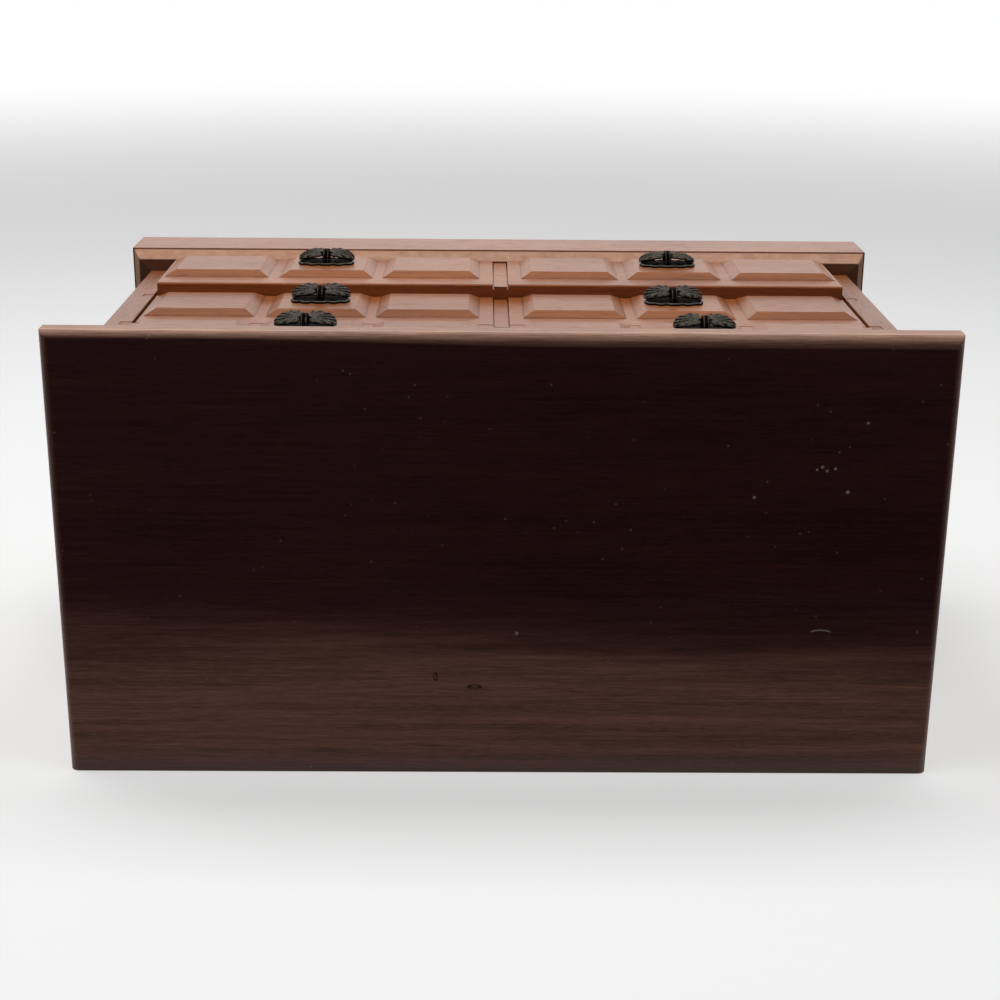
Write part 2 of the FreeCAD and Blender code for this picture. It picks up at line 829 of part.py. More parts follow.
def gear_x(x0, width, y, z, teeth, outer, depth):
    # spur wheel about X with straight-sided teeth
    points = []
    for i in range(teeth):
        for share, radius in ((0.0, outer), (0.25, outer), (0.45, outer - depth), (0.8, outer - depth)):
            angle = 2 * math.pi * (i + share) / teeth
            points.append(vec(x0, y + radius * math.cos(angle), z + radius * math.sin(angle)))
    return Part.Face(Part.makePolygon(points + points[:1])).extrude(vec(width, 0, 0))


def music_cylinder():
    solids = [rod_x(cylinder_left, cylinder_left + cylinder_length, shaft_y, shaft_z, cylinder_radius)]
    root = cylinder_radius - music_pin_root
    for track in range(comb_teeth):
        x = comb_left + (track + 0.5) * comb_pitch
        for turn in range(pins_per_track):
            angle = math.radians(track * track_turn + turn * pin_turn)
            way = vec(0, math.cos(angle), math.sin(angle))
            start = vec(x, shaft_y, shaft_z) + way * root
            solids.append(Part.makeCylinder(music_pin_radius, pin_length + music_pin_root, start, way))
    solids.append(gear_x(great_wheel_left, great_wheel_width, shaft_y, shaft_z, great_wheel_teeth,
                         great_radius, 2 * gear_module))
    pinion_x = spring_x + crown_radius - pinion_width
    solids.append(gear_x(pinion_x, pinion_width, shaft_y, shaft_z, pinion_teeth, pinion_radius, tooth_height))
    shaft = rod_x(pinion_x, post_right + post_thickness, shaft_y, shaft_z, cylinder_shaft)
    return shaft.fuse(solids).removeSplitter()


def spring_arbor():
    root = drive_wheel_top - tooth_height
    low = drive_wheel_top - drive_wheel_thickness
    key_end = key_top - key_hub_length + key_web
    solids = [rod_z(low, root, spring_x, shaft_y, crown_radius)]
    half = crown_tooth_width / 2
    for i in range(crown_teeth):
        tooth = box(crown_radius - pinion_width, crown_radius - crown_tooth_inset, -half, half,
                    root, drive_wheel_top)
        tooth.rotate(vec(0, 0, 0), vec(0, 0, 1), 360.0 * i / crown_teeth)
        solids.append(moved(tooth, vec(spring_x, shaft_y, 0)))
    return rod_z(key_end, root, spring_x, shaft_y, arbor_radius).fuse(solids).removeSplitter()


def spring_case():
    low = plinth_height + bed_thickness
    high = drive_wheel_top - drive_wheel_thickness - housing_gap
    room_low = low + housing_wall
    room_high = high - housing_wall
    room_radius = housing_radius - housing_wall
    drum = rod_z(low, high, spring_x, shaft_y, housing_radius)
    drum = drum.cut(rod_z(room_low, room_high, spring_x, shaft_y, room_radius))
    drum = drum.cut(rod_z(low, high, spring_x, shaft_y, arbor_radius + shaft_play))
    coil = rod_z(room_low, room_high - coil_gap, spring_x, shaft_y, room_radius)
    coil = coil.cut(rod_z(low, high, spring_x, shaft_y, arbor_radius + coil_inner_gap))
    return {"spring_housing": drum, "mainspring": coil}


def winding_key():
    hub_low = key_top - key_hub_length
    hub = rod_z(hub_low, key_top, spring_x, shaft_y, key_hub_radius)
    half = key_wing_width / 2
    wing_low = hub_low - key_wing_height / 3
    wing_high = wing_low + key_wing_height
    radius = key_wing_height / 2
    middle = (wing_low + wing_high) / 2
    y0 = shaft_y - key_wing_thickness / 2
    y1 = shaft_y + key_wing_thickness / 2
    wing = box(spring_x - half + radius, spring_x + half - radius, y0, y1, wing_low, wing_high)
    for side in (-1, 1):
        wing = wing.fuse(rod_y(y0, y1, spring_x + side * (half - radius), middle, radius))
    for side in (-1, 1):
        wing = wing.cut(rod_y(y0, y1, spring_x + side * (half - radius), middle, key_wing_bore))
    socket = rod_z(hub_low + key_web, key_top, spring_x, shaft_y, arbor_radius)
    return hub.fuse(wing).cut(socket).removeSplitter()


def governor():
    bed_high = plinth_height + bed_thickness
    inner = post_right + frame_plate
    outer = movement_x + bed_right
    arm_y0 = fly_y - arm_half_depth
    arm_y1 = fly_y + arm_half_depth
    rear = governor_y + frame_half_height
    fly_low = shaft_z - worm_length / 2 - fly_low_end
    fly_high = shaft_z + fly_wing_above + fly_wing_height + fly_high_end
    shaft_low = fly_low - frame_plate
    shaft_high = fly_high + frame_plate
    solids = [
        box(post_right, inner, governor_y - frame_half_height, rear, bed_high, shaft_z + frame_half_height),
        box(post_right, outer, rear - frame_foot, rear, bed_high, bed_high + frame_plate),
        box(inner, outer, arm_y0, arm_y1, shaft_low, fly_low),
        box(inner, outer, arm_y0, arm_y1, fly_high, shaft_high),
    ]
    frame = box(outer - frame_plate, outer, arm_y0, rear, bed_high, shaft_high).fuse(solids)
    play = fly_shaft + shaft_play
    frame = frame.cut(rod_x(post_right, outer, governor_y, shaft_z, play))
    frame = frame.cut(rod_z(shaft_low, shaft_high, fly_x, fly_y, play))
    wheel = rod_x(great_wheel_left, outer, governor_y, shaft_z, fly_shaft)
    wheel = wheel.fuse([
        gear_x(great_wheel_left, great_wheel_width, governor_y, shaft_z, governor_pinion_teeth,
               governor_pinion_radius, 2 * gear_module),
        gear_x(fly_x - worm_wheel_width / 2, worm_wheel_width, governor_y, shaft_z, worm_wheel_teeth,
               worm_wheel_radius, 2 * gear_module),
    ])
    shaft = rod_z(shaft_low, shaft_high, fly_x, fly_y, fly_shaft)
    collar_low = shaft_z + fly_collar_above
    wing_low = shaft_z + fly_wing_above
    solids = [
        worm_screw(),
        rod_z(collar_low, collar_low + fly_collar, fly_x, fly_y, fly_collar_radius),
        box(fly_x - fly_wing_reach, fly_x + fly_wing_reach, fly_y - fly_wing_thickness / 2,
            fly_y + fly_wing_thickness / 2, wing_low, wing_low + fly_wing_height),
    ]
    return {
        "governor_frame": frame.removeSplitter(),
        "governor_wheel": wheel.removeSplitter(),
        "governor_fly": shaft.fuse(solids).removeSplitter(),
    }


def worm_screw():
    low = shaft_z - worm_length / 2
    worm = rod_z(low, low + worm_length, fly_x, fly_y, worm_radius)
    count = int(worm_length / worm_turn)
    for i in range(count):
        z = low + (i + 0.25) * worm_turn
        ring = rod_z(z, z + worm_turn / 2, fly_x, fly_y, worm_radius + 1)
        ring = ring.cut(rod_z(z, z + worm_turn / 2, fly_x, fly_y, worm_radius - worm_groove))
        worm = worm.cut(ring)
    return worm


def stop_rod():
    rod_place = back_inside + stop_rod_radius + stop_rod_play
    finger_low = shaft_z + fly_collar_above + fly_collar + run_clearance
    rod = rod_z(finger_low, case_top, fly_x, rod_place, stop_rod_radius)
    half = stop_finger_width / 2
    finger = box(fly_x - half, fly_x + half, fly_y + stop_finger_air, rod_place,
                 finger_low, finger_low + stop_finger)
    return rod.fuse(finger).removeSplitter()


def chamber():
    wall = box(-inner_half, inner_half, chamber_front - chamber_wall, chamber_front,
               plinth_height, shelf_levels()[1][0])
    return {"movement_wall": wall}


def build():
    nodes = {}
    nodes.update(case_sides())
    nodes["case_back"] = case_back()
    nodes.update(shelves())
    nodes["top_front"] = moulded_front(front, 2, inner_half)
    nodes.update(plinth_rails())
    nodes.update(chamber())
    nodes.update(compartment())
    nodes.update(pulls())
    nodes.update(drawer("lower", 0, chamber_front - chamber_wall - run_clearance))
    nodes.update(drawer("middle", 1, back_inside - run_clearance))
    nodes.update(hinges())
    nodes["lid_board"] = lid_board()
    nodes.update(lid_inside())
    nodes["movement_bedplate"] = bedplate()
    nodes["movement_screws"] = Part.makeCompound(mount_screws())
    nodes["comb"] = comb()
    nodes["comb_screws"] = Part.makeCompound(comb_screws())
    nodes["cylinder"] = music_cylinder()
    nodes["spring_arbor"] = spring_arbor()
    nodes.update(spring_case())
    nodes["winding_key"] = winding_key()
    nodes.update(governor())
    nodes["stop_rod"] = stop_rod()
    return nodes


os.makedirs("parts", exist_ok=True)
for node, shape in build().items():
    shape.exportStep("parts/" + node + ".step")
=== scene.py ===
import json
import math

import bmesh
import bpy
from mathutils import Matrix, Vector, noise

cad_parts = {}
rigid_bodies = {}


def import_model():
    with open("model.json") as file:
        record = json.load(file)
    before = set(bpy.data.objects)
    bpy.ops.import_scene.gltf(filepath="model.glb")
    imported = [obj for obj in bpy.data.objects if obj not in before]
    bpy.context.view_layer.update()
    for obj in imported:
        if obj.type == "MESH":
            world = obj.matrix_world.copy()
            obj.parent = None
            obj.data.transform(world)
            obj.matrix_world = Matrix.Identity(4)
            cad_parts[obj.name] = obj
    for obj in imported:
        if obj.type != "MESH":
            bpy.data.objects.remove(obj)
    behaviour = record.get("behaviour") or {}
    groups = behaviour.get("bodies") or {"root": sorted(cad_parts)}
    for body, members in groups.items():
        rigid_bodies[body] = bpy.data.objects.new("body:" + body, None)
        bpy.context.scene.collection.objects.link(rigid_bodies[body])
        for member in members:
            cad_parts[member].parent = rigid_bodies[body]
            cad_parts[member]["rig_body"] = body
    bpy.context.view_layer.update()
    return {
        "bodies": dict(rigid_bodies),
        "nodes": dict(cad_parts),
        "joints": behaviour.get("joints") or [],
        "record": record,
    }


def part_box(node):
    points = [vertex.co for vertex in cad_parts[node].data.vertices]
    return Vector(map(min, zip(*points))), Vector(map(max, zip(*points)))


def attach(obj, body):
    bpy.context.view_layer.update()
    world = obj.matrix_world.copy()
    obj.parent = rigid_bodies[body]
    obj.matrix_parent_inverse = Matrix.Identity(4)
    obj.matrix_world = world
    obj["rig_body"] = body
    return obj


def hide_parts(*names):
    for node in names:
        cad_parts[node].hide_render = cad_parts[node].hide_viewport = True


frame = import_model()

mm = 0.001


# shader sums: a wrapped socket, and one method that adds any other node

class Wire:
    def __init__(self, finish, socket):
        self.finish = finish
        self.socket = socket

    def sum(self, operation, *values):
        return self.finish.add("ShaderNodeMath", {"operation": operation}, dict(enumerate(values)))

    def __add__(self, other):
        return self.sum("ADD", self, other)

    def __sub__(self, other):
        return self.sum("SUBTRACT", self, other)

    def __rsub__(self, other):
        return self.sum("SUBTRACT", other, self)

    def __mul__(self, other):
        return self.sum("MULTIPLY", self, other)

    def __pow__(self, other):
        return self.sum("POWER", self, other)

    def most(self, other):
        return self.sum("MAXIMUM", self, other)

    def least(self, other):
        return self.sum("MINIMUM", self, other)

    def size(self):
        return self.sum("ABSOLUTE", self)

    __radd__ = __add__
    __rmul__ = __mul__


class Finish:
    def __init__(self, name, tree=None):
        if tree is None:
            self.material = bpy.data.materials.new(name)
            self.material.use_nodes = True
            tree = self.material.node_tree
        self.tree = tree
        self.tree.nodes.clear()

    def add(self, kind, settings=None, sockets=None, output=0):
        node = self.tree.nodes.new(kind)
        for name, value in (settings or {}).items():
            setattr(node, name, value)
        for name, value in (sockets or {}).items():
            if isinstance(value, Wire):
                self.tree.links.new(value.socket, node.inputs[name])
            elif value is not None:
                node.inputs[name].default_value = value
        return Wire(self, node.outputs[output]) if len(node.outputs) else None

    def place(self, scale, shift=(0, 0, 0)):
        # one number scales all three axes
        scale = scale if isinstance(scale, (tuple, list)) else (scale,) * 3
        spot = self.add("ShaderNodeTexCoord", output="Object")
        return self.add("ShaderNodeMapping", {}, {"Vector": spot, "Scale": scale, "Location": shift})

    def axes(self):
        spot = self.add("ShaderNodeTexCoord", output="Object")
        parts = self.add("ShaderNodeSeparateXYZ", {}, {0: spot})
        return self.others(parts, (0, 1, 2))

    def others(self, wire, outputs):
        # more outputs of the node that a wire comes from
        return [Wire(self, wire.socket.node.outputs[output]) for output in outputs]

    def noise(self, scale, detail=2.0, rough=0.5, warp=0.0, shift=(0, 0, 0)):
        sockets = {"Vector": self.place(scale, shift), "Scale": 1.0, "Detail": detail,
                   "Roughness": rough, "Distortion": warp}
        return self.add("ShaderNodeTexNoise", {}, sockets, "Fac")

    def cells(self, scale):
        return self.add("ShaderNodeTexVoronoi", {}, {"Vector": self.place(scale), "Scale": 1.0}, "Distance")

    def step(self, value, low, high):
        sockets = {"Value": value, "From Min": low, "From Max": high}
        return self.add("ShaderNodeMapRange", {"interpolation_type": "SMOOTHSTEP"}, sockets)

    def band(self, value, low, full, end, high):
        # 1 between full and end, 0 outside low and high
        return self.step(value, low, full) * self.step(value, high, end)

    def mix(self, factor, first, second, way="MIX"):
        first, second = (c if isinstance(c, Wire) else tuple(c) + (1.0,) for c in (first, second))
        return self.add("ShaderNodeMix", {"data_type": "RGBA", "blend_type": way},
                        {0: factor, 6: first, 7: second}, 2)

    def shades(self, factor, tone, low, high):
        # one tone, from a darker to a lighter share of it
        return self.mix(factor, [c * low for c in tone], [c * high for c in tone])

    def bump(self, height, distance, strength=1.0):
        sockets = {"Height": height, "Distance": distance, "Strength": strength}
        return self.add("ShaderNodeBump", {}, sockets, "Normal")

    def surface(self, sockets):
        shader = self.add("ShaderNodeBsdfPrincipled", {}, sockets)
        self.add("ShaderNodeOutputMaterial", {}, {"Surface": shader})
        return self.material


def spotMask(finish, centre, reach, soft=0.5):
    # 1 inside an ellipsoid at centre, 0 outside
    scaled = finish.place([1 / r for r in reach], [-c / r for c, r in zip(centre, reach)])
    far = finish.add("ShaderNodeVectorMath", {"operation": "LENGTH"}, {0: scaled}, "Value")
    return finish.step(far, 1.0, 1.0 - soft)


def patchily(mask, patches, shares):
    # the mask at its least share, with more of it in the patches
    least, more = shares
    return mask * (least + patches * more)


def ringMask(finish, centre, radius, width):
    # 1 on a circle that lies flat
    away = finish.place(1, (-centre[0], -centre[1], 0))
    flat = finish.add("ShaderNodeVectorMath", {"operation": "MULTIPLY"}, {0: away, 1: (1, 1, 0)})
    far = finish.add("ShaderNodeVectorMath", {"operation": "LENGTH"}, {0: flat}, "Value")
    return finish.step((far - radius).size(), width, width * 0.3)


# wood

woodLooks = {
    "front": {"dark": (0.165, 0.047, 0.013), "light": (0.395, 0.133, 0.044), "rough": 0.36, "coat": 0.20,
              "shine": 0.50},
    "lid": {"dark": (0.032, 0.0077, 0.0056), "light": (0.088, 0.0235, 0.0165), "rough": 0.45, "coat": 0.06,
            "shine": 0.32},
    "side": {"dark": (0.130, 0.037, 0.011), "light": (0.310, 0.104, 0.035), "rough": 0.38, "coat": 0.18,
             "shine": 0.50},
    # the plinth's side boards: darker than the fronts, painted shade on their outer faces
    "plinthSideShaded": {"dark": (0.080, 0.025, 0.009), "light": (0.190, 0.066, 0.025), "rough": 0.58, "coat": 0.0,
                   "shine": 0.08},
    "inside": {"dark": (0.40, 0.225, 0.115), "light": (0.62, 0.415, 0.245), "rough": 0.62, "coat": 0.0,
               "shine": 0.50},
}

# layers of the grain: scales along and across it, the noise's detail, roughness and warp, and its contrast
grainLook = {
    "figure": {"scale": (5, 46), "noise": (4, 0.55, 0.9), "span": (0.28, 0.72)},
    "streaks": {"scale": (14, 950), "noise": (3, 0.6, 0.0), "span": (0.30, 0.70)},
    "broad": {"scale": (9, 15), "noise": (2, 0.5, 0.3), "span": (0.30, 0.70)},
    "dashes": {"scale": (210, 1900), "noise": (3, 0.7, 0.0), "span": (0.25, 0.75)},
    "pores": {"scale": (150, 3000), "noise": (2, 0.5, 0.0), "span": (0.58, 0.68)},
}
toneShares = {"figure": 0.36, "streaks": 0.22, "broad": 0.20, "dashes": 0.30}
surfaceLook = {
    "poreTone": 0.45,                     # share of the dark stain
    "poreAmount": 0.55,
    "poreRough": 0.12,
    "roughNoise": (60, 3),
    "roughSpread": 0.10,
    "streakRelief": 0.35,
    "relief": (0.05 * mm, 0.5),           # height and strength
    "coatRough": 0.22,
}


def woodFinish(name, look, along, shift=(0, 0, 0), marks=None):
    finish = Finish(name)
    raw, grain = {}, {}
    for kind, layer in grainLook.items():
        lengthwise, across = layer["scale"]
        scale = tuple(lengthwise if axis == along else across for axis in "XYZ")
        raw[kind] = finish.noise(scale, *layer["noise"], shift)
        grain[kind] = finish.step(raw[kind], *layer["span"])
    pores = grain["pores"]
    tone = sum(grain[kind] * share for kind, share in toneShares.items())
    colour = finish.mix(tone, look["dark"], look["light"])
    colour = finish.mix(pores * surfaceLook["poreAmount"], colour,
                        [c * surfaceLook["poreTone"] for c in look["dark"]])
    uneven = (finish.noise(*surfaceLook["roughNoise"]) - 0.5) * surfaceLook["roughSpread"]
    rough = look["rough"] + uneven + pores * surfaceLook["poreRough"]
    if marks:
        colour, rough = marks(finish, colour, rough, grain["dashes"])
    height = raw["streaks"] * surfaceLook["streakRelief"] - pores
    return finish.surface({
        "Base Color": colour, "Roughness": rough, "Normal": finish.bump(height, *surfaceLook["relief"]),
        "Coat Weight": look["coat"], "Coat Roughness": surfaceLook["coatRough"],
        "Specular IOR Level": look["shine"],
    })


# wear of the lid: haze, a paler band over its back part, a darker back edge, and the finer grain over both

paleBandLook = {
    "hazeSpan": (-20 * mm, 90 * mm),      # along X
    "clearTint": (0.88, 0.80, 0.80),
    "hazeTint": (1.10, 1.08, 1.28),
    "span": (20 * mm, 51 * mm),           # along Y, where the band begins and is full
    "foot": (2 * mm, 30 * mm),            # a faint start before it
    "footShare": 0.1,
    "slant": 0.03,
    "wander": (((7, 30, 1), 3, 0.5, 0.6), 20 * mm),
    "fray": (((10, 170, 1), 3, 0.6, 0.3), 22 * mm),
    "tone": (0.335, 0.146, 0.110),
    "toneRange": (0.52, 1.32),
    "bands": ((6, 260, 1), 4, 0.65),
    "bandSpan": (0.32, 0.68),
    "amount": 0.94,
    "fibres": ((45, 1500, 1), 3, 0.7),
    "fibreSpan": (0.3, 0.7),
    "fibreTints": ((0.84, 0.80, 0.80), (1.16, 1.20, 1.18)),
    "backTone": (0.060, 0.038, 0.040),
    "backWidth": 10 * mm,
    "backAmount": 0.75,
}


def lidPaleBand(finish, colour, dashes):
    look = paleBandLook
    x, y, _ = finish.axes()
    tint = finish.mix(finish.step(x, *look["hazeSpan"]), look["clearTint"], look["hazeTint"])
    colour = finish.mix(1.0, colour, tint, "MULTIPLY")
    drift = y + x * look["slant"]
    for layer, reach in (look["wander"], look["fray"]):
        drift = drift + (finish.noise(*layer) - 0.5) * reach
    paleBand = (finish.step(drift, *look["span"]) * (1 - look["footShare"])
           + finish.step(drift, *look["foot"]) * look["footShare"])
    bands = finish.step(finish.noise(*look["bands"]), *look["bandSpan"])
    paleBandColour = finish.shades(dashes * 0.5 + bands * 0.5, look["tone"], *look["toneRange"])
    colour = finish.mix(paleBand * look["amount"], colour, paleBandColour)
    fibres = finish.step(finish.noise(*look["fibres"]), *look["fibreSpan"])
    colour = finish.mix(1.0, colour, finish.mix(fibres, *look["fibreTints"]), "MULTIPLY")
    back = finish.step(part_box("lid_board")[1].y - y, look["backWidth"], 0.0)
    return finish.mix(back * look["backAmount"], colour, look["backTone"])


# the front and side edges are paler, fading to the top's colour over the rounding, and the arris is rubbed
# paler with a painted highlight

edgeLook = {
    "tones": ((0.150, 0.068, 0.042), (0.400, 0.215, 0.150)),
    "toneShares": (0.35, 0.55, 0.1),      # by the dashes, by the streaks, and even
    "rubAndHighlightTone": (0.66, 0.42, 0.31),
    "rubAndHighlightShares": (0.12, 0.36, 0.40, 0.25),  # even, by the patches, by the streaks, on the arris
    "uneven": (110 * mm, -30 * mm),       # along X, the front band grows wider
    "narrower": 0.8 * mm,
    "wider": 2.2 * mm,
    "fade": (3.4 * mm, 0.2 * mm),
    "fadeAmount": 0.5,
    "core": (3.3 * mm, 2.3 * mm),
    "coreAmount": 0.45,
    "sideFade": (3.4 * mm, 0.5 * mm),
    "sideAmount": 0.6,
    "arrisBelow": 3.0 * mm,               # from the lid's top down to the middle of the rubbed and highlighted band
    "arris": (0.9 * mm, 0.1 * mm),
    "arrisReach": (1.2 * mm, 0.3 * mm),
    "face": (0.8 * mm, 0.1 * mm),
    "faceAmount": 0.5,
    "streaks": ((50, 2400, 2400), 3, 0.7, 0.4),
    "streakSpan": (0.38, 0.62),
    "patches": (60, 4, 0.6),
    "patchSpan": (0.2, 0.7),
    "rough": 0.08,
}


def lidEdges(finish, colour, dashes):
    look = edgeLook
    low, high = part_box("lid_board")
    x, y, z = finish.axes()
    front = y - low.y
    side = high.x - x.size()
    wearAndLight = finish.step(finish.noise(*look["patches"]), *look["patchSpan"])
    streaks = finish.step(finish.noise(*look["streaks"]), *look["streakSpan"])
    byDash, byStreak, even = look["toneShares"]
    stain = finish.mix(dashes * byDash + streaks * byStreak + even, *look["tones"])
    reach = front + look["narrower"] - finish.step(x, *look["uneven"]) * look["wider"]
    frontBand = (finish.step(reach, *look["fade"]) * look["fadeAmount"]
                 + finish.step(reach, *look["core"]) * look["coreAmount"])
    edging = frontBand.most(finish.step(side, *look["sideFade"]) * look["sideAmount"])
    colour = finish.mix(edging, colour, stain)
    # the arris: rubbed paler, partly a painted highlight
    arris = finish.step((z - high.z + look["arrisBelow"]).size(), *look["arris"])
    rubAndHighlight = arris * finish.step(front.least(side), *look["arrisReach"])
    rubAndHighlight = rubAndHighlight.most(finish.step(front, *look["face"]) * look["faceAmount"])
    even, byPatch, byStreak, onArris = look["rubAndHighlightShares"]
    amount = rubAndHighlight * (even + wearAndLight * byPatch + streaks * byStreak + arris * onArris)
    return finish.mix(amount, colour, look["rubAndHighlightTone"]), rubAndHighlight


# places on the lid's top, in millimetres from the middle of the box

markLook = {
    "dents": (((22.6, 44.2), (1.1, 2.2)), ((8.9, 48.0), (3.6, 1.2))),
    "dentTone": (0.006, 0.002, 0.002),
    "dentFloor": 0.6,                     # size of its floor, as a share of the dent
    "floorLift": 0.6,                     # how much less dark the floor is than the rim
    "dentShares": (0.35, 0.6),
    "ragged": (700, 3, 0.6, 1.0),
    "raggedSpan": (0.38, 0.52),
    "specks": ((-5.6, 27.6, 0.9), (-107.8, -33.5, 0.8), (-116.9, -24.7, 0.9), (-85.4, -22.6, 0.8),
               (-109.4, -32.2, 0.7), (-106.0, -32.6, 0.6), (-112.2, -32.9, 0.7), (-122.0, -49.0, 0.7)),
    "speckSoft": 0.7,
    "scratch": (-111.1, 25.9),
    "scratchRadius": 9 * mm,
    "scratchWidth": 0.35 * mm,
    "scratchReach": 4 * mm,
    "scratchSoft": 0.3,
    "deep": 4 * mm,                       # how far a mark reaches below the top
    "markAmount": 0.9,
    "dustTone": (0.48, 0.38, 0.32),
    "dustScale": 190,
    "dustSpan": (0.10, 0.05),
    "dustPatches": (35, 2),
    "dustPatchSpan": (0.46, 0.58),
    "dustAmount": 0.28,
}


def lidMarks(finish, colour):
    look = markLook
    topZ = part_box("lid_board")[1].z
    deep = look["deep"]
    inner = look["dentFloor"]
    ragged = finish.step(finish.noise(*look["ragged"]), *look["raggedSpan"])
    for (x, y), (rx, ry) in look["dents"]:
        centre = (x * mm, y * mm, topZ)
        dent = spotMask(finish, centre, (rx * mm, ry * mm, deep))
        floor = spotMask(finish, centre, (rx * inner * mm, ry * inner * mm, deep))
        amount = patchily(dent * (1 - floor * look["floorLift"]), ragged, look["dentShares"])
        colour = finish.mix(amount, colour, look["dentTone"])
    for x, y, r in look["specks"]:
        speck = spotMask(finish, (x * mm, y * mm, topZ), (r * mm, r * mm, deep), look["speckSoft"])
        colour = finish.mix(speck * look["markAmount"], colour, look["dustTone"])
    x, y = (v * mm for v in look["scratch"])
    radius = look["scratchRadius"]
    scratch = ringMask(finish, (x, y + radius), radius, look["scratchWidth"])
    scratch = scratch * spotMask(finish, (x, y, topZ), (look["scratchReach"],) * 3, look["scratchSoft"])
    colour = finish.mix(scratch * look["markAmount"], colour, look["dustTone"])
    dust = finish.step(finish.cells(look["dustScale"]), *look["dustSpan"])
    few = finish.step(finish.noise(*look["dustPatches"]), *look["dustPatchSpan"])
    return finish.mix(dust * few * look["dustAmount"], colour, look["dustTone"])


def lidWear(finish, colour, rough, dashes):
    colour = lidPaleBand(finish, colour, dashes)
    colour, rubAndHighlight = lidEdges(finish, colour, dashes)
    return lidMarks(finish, colour), rough + rubAndHighlight * edgeLook["rough"]


# wear of the fronts: deeper stain on the margins, crests rubbed paler with a painted highlight, and painted
# shade in the crease at the foot of the bevels

frontWearLook = {
    "raise": 2.2 * mm,                    # the panels' faces stand this far out of the margins
    "margin": (1.04, 0.97, 0.80),         # tints that multiply the stain
    # the crests: rubbed paler, partly a painted highlight
    "crest": (1.12, 1.10, 1.06),
    # painted shade in the crease at the foot of the bevels
    "paintedShade": (0.50, 0.42, 0.38),
    "marginSpan": (0.95, 1.0),            # shares of the raise
    "footSpan": (0.80, 0.93, 0.97, 1.0),
    "crestSpan": (0.02 * mm, 0.12 * mm, 0.30 * mm, 0.55 * mm),
    "patches": (130, 4, 0.65),
    "patchSpan": (0.35, 0.65),
    "crestShares": (0.4, 0.6),
    "paintedShadeShares": (0.45, 0.45),
    "crestRough": 0.06,
}


def frontWear(node):
    look = frontWearLook
    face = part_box(node)[0].y

    def marks(finish, colour, rough, dashes):
        depth = finish.axes()[1] - face
        margin = finish.step(depth, *(share * look["raise"] for share in look["marginSpan"]))
        foot = finish.band(depth, *(share * look["raise"] for share in look["footSpan"]))
        crest = finish.band(depth, *look["crestSpan"])
        patchy = finish.step(finish.noise(*look["patches"]), *look["patchSpan"])
        colour = finish.mix(margin, colour, look["margin"], "MULTIPLY")
        # the crests: rubbed paler, partly a painted highlight
        wearAndLight = patchily(crest, patchy, look["crestShares"])
        colour = finish.mix(wearAndLight, colour, look["crest"], "MULTIPLY")
        # painted shade in the crease at the foot of the bevels
        shaded = patchily(foot, patchy, look["paintedShadeShares"])
        colour = finish.mix(shaded, colour, look["paintedShade"], "MULTIPLY")
        return colour, rough + crest * look["crestRough"]

    return marks


# wear of the plinth: its moulded top edge is rubbed paler with a painted sheen, with a painted shadow along
# the step and painted shade on the ledge

plinthWearLook = {
    "step": 24.0 * mm,
    "ledge": 30.2 * mm,
    # the rubbed tone also paints the moulded edge's sheen
    "rubbed": (0.56, 0.33, 0.22),
    "paintedShade": (0.32, 0.23, 0.20),
    "rubSpan": (-0.2 * mm, 0.4 * mm),     # from the step
    "lineSpan": (0.40 * mm, 0.15 * mm),
    "ledgeSpan": (-0.5 * mm, -0.1 * mm),  # from the ledge
    "patches": (120, 4, 0.7),
    "patchSpan": (0.3, 0.7),
    "rubAndHighlightShares": (0.40, 0.4),
    "lineShares": (0.6, 0.3),
    "ledgeAmount": 0.95,
    "rough": 0.12,
}


def plinthWear(finish, colour, rough, dashes):
    look = plinthWearLook
    height = finish.axes()[2]
    wearAndLight = finish.step(finish.noise(*look["patches"]), *look["patchSpan"])
    above = finish.step(height, *(look["step"] + v for v in look["rubSpan"]))
    # rubbed paler, partly a painted sheen on the moulded top edge
    rubAndHighlight = patchily(above, wearAndLight, look["rubAndHighlightShares"])
    colour = finish.mix(rubAndHighlight, colour, look["rubbed"])
    # painted shadow along the step, and painted shade on the ledge
    line = finish.step((height - look["step"]).size(), *look["lineSpan"])
    ledge = finish.step(height, *(look["ledge"] + v for v in look["ledgeSpan"]))
    paintedShade = patchily(line, wearAndLight, look["lineShares"]).most(ledge * look["ledgeAmount"])
    return finish.mix(paintedShade, colour, look["paintedShade"], "MULTIPLY"), rough + rubAndHighlight * look["rough"]


# bare shelves, whose tongues were stained with the sides that they show in

shelfWearLook = {"span": (3.0 * mm, 2.0 * mm), "smoother": 0.2}


def shelfWear(finish, colour, rough, dashes):
    fromEdge = finish.axes()[1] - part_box("case_side_right")[0].y
    stained = finish.step(fromEdge, *shelfWearLook["span"])
    stain = finish.mix(dashes, woodLooks["side"]["dark"], woodLooks["side"]["light"])
    return finish.mix(stained, colour, stain), rough - stained * shelfWearLook["smoother"]


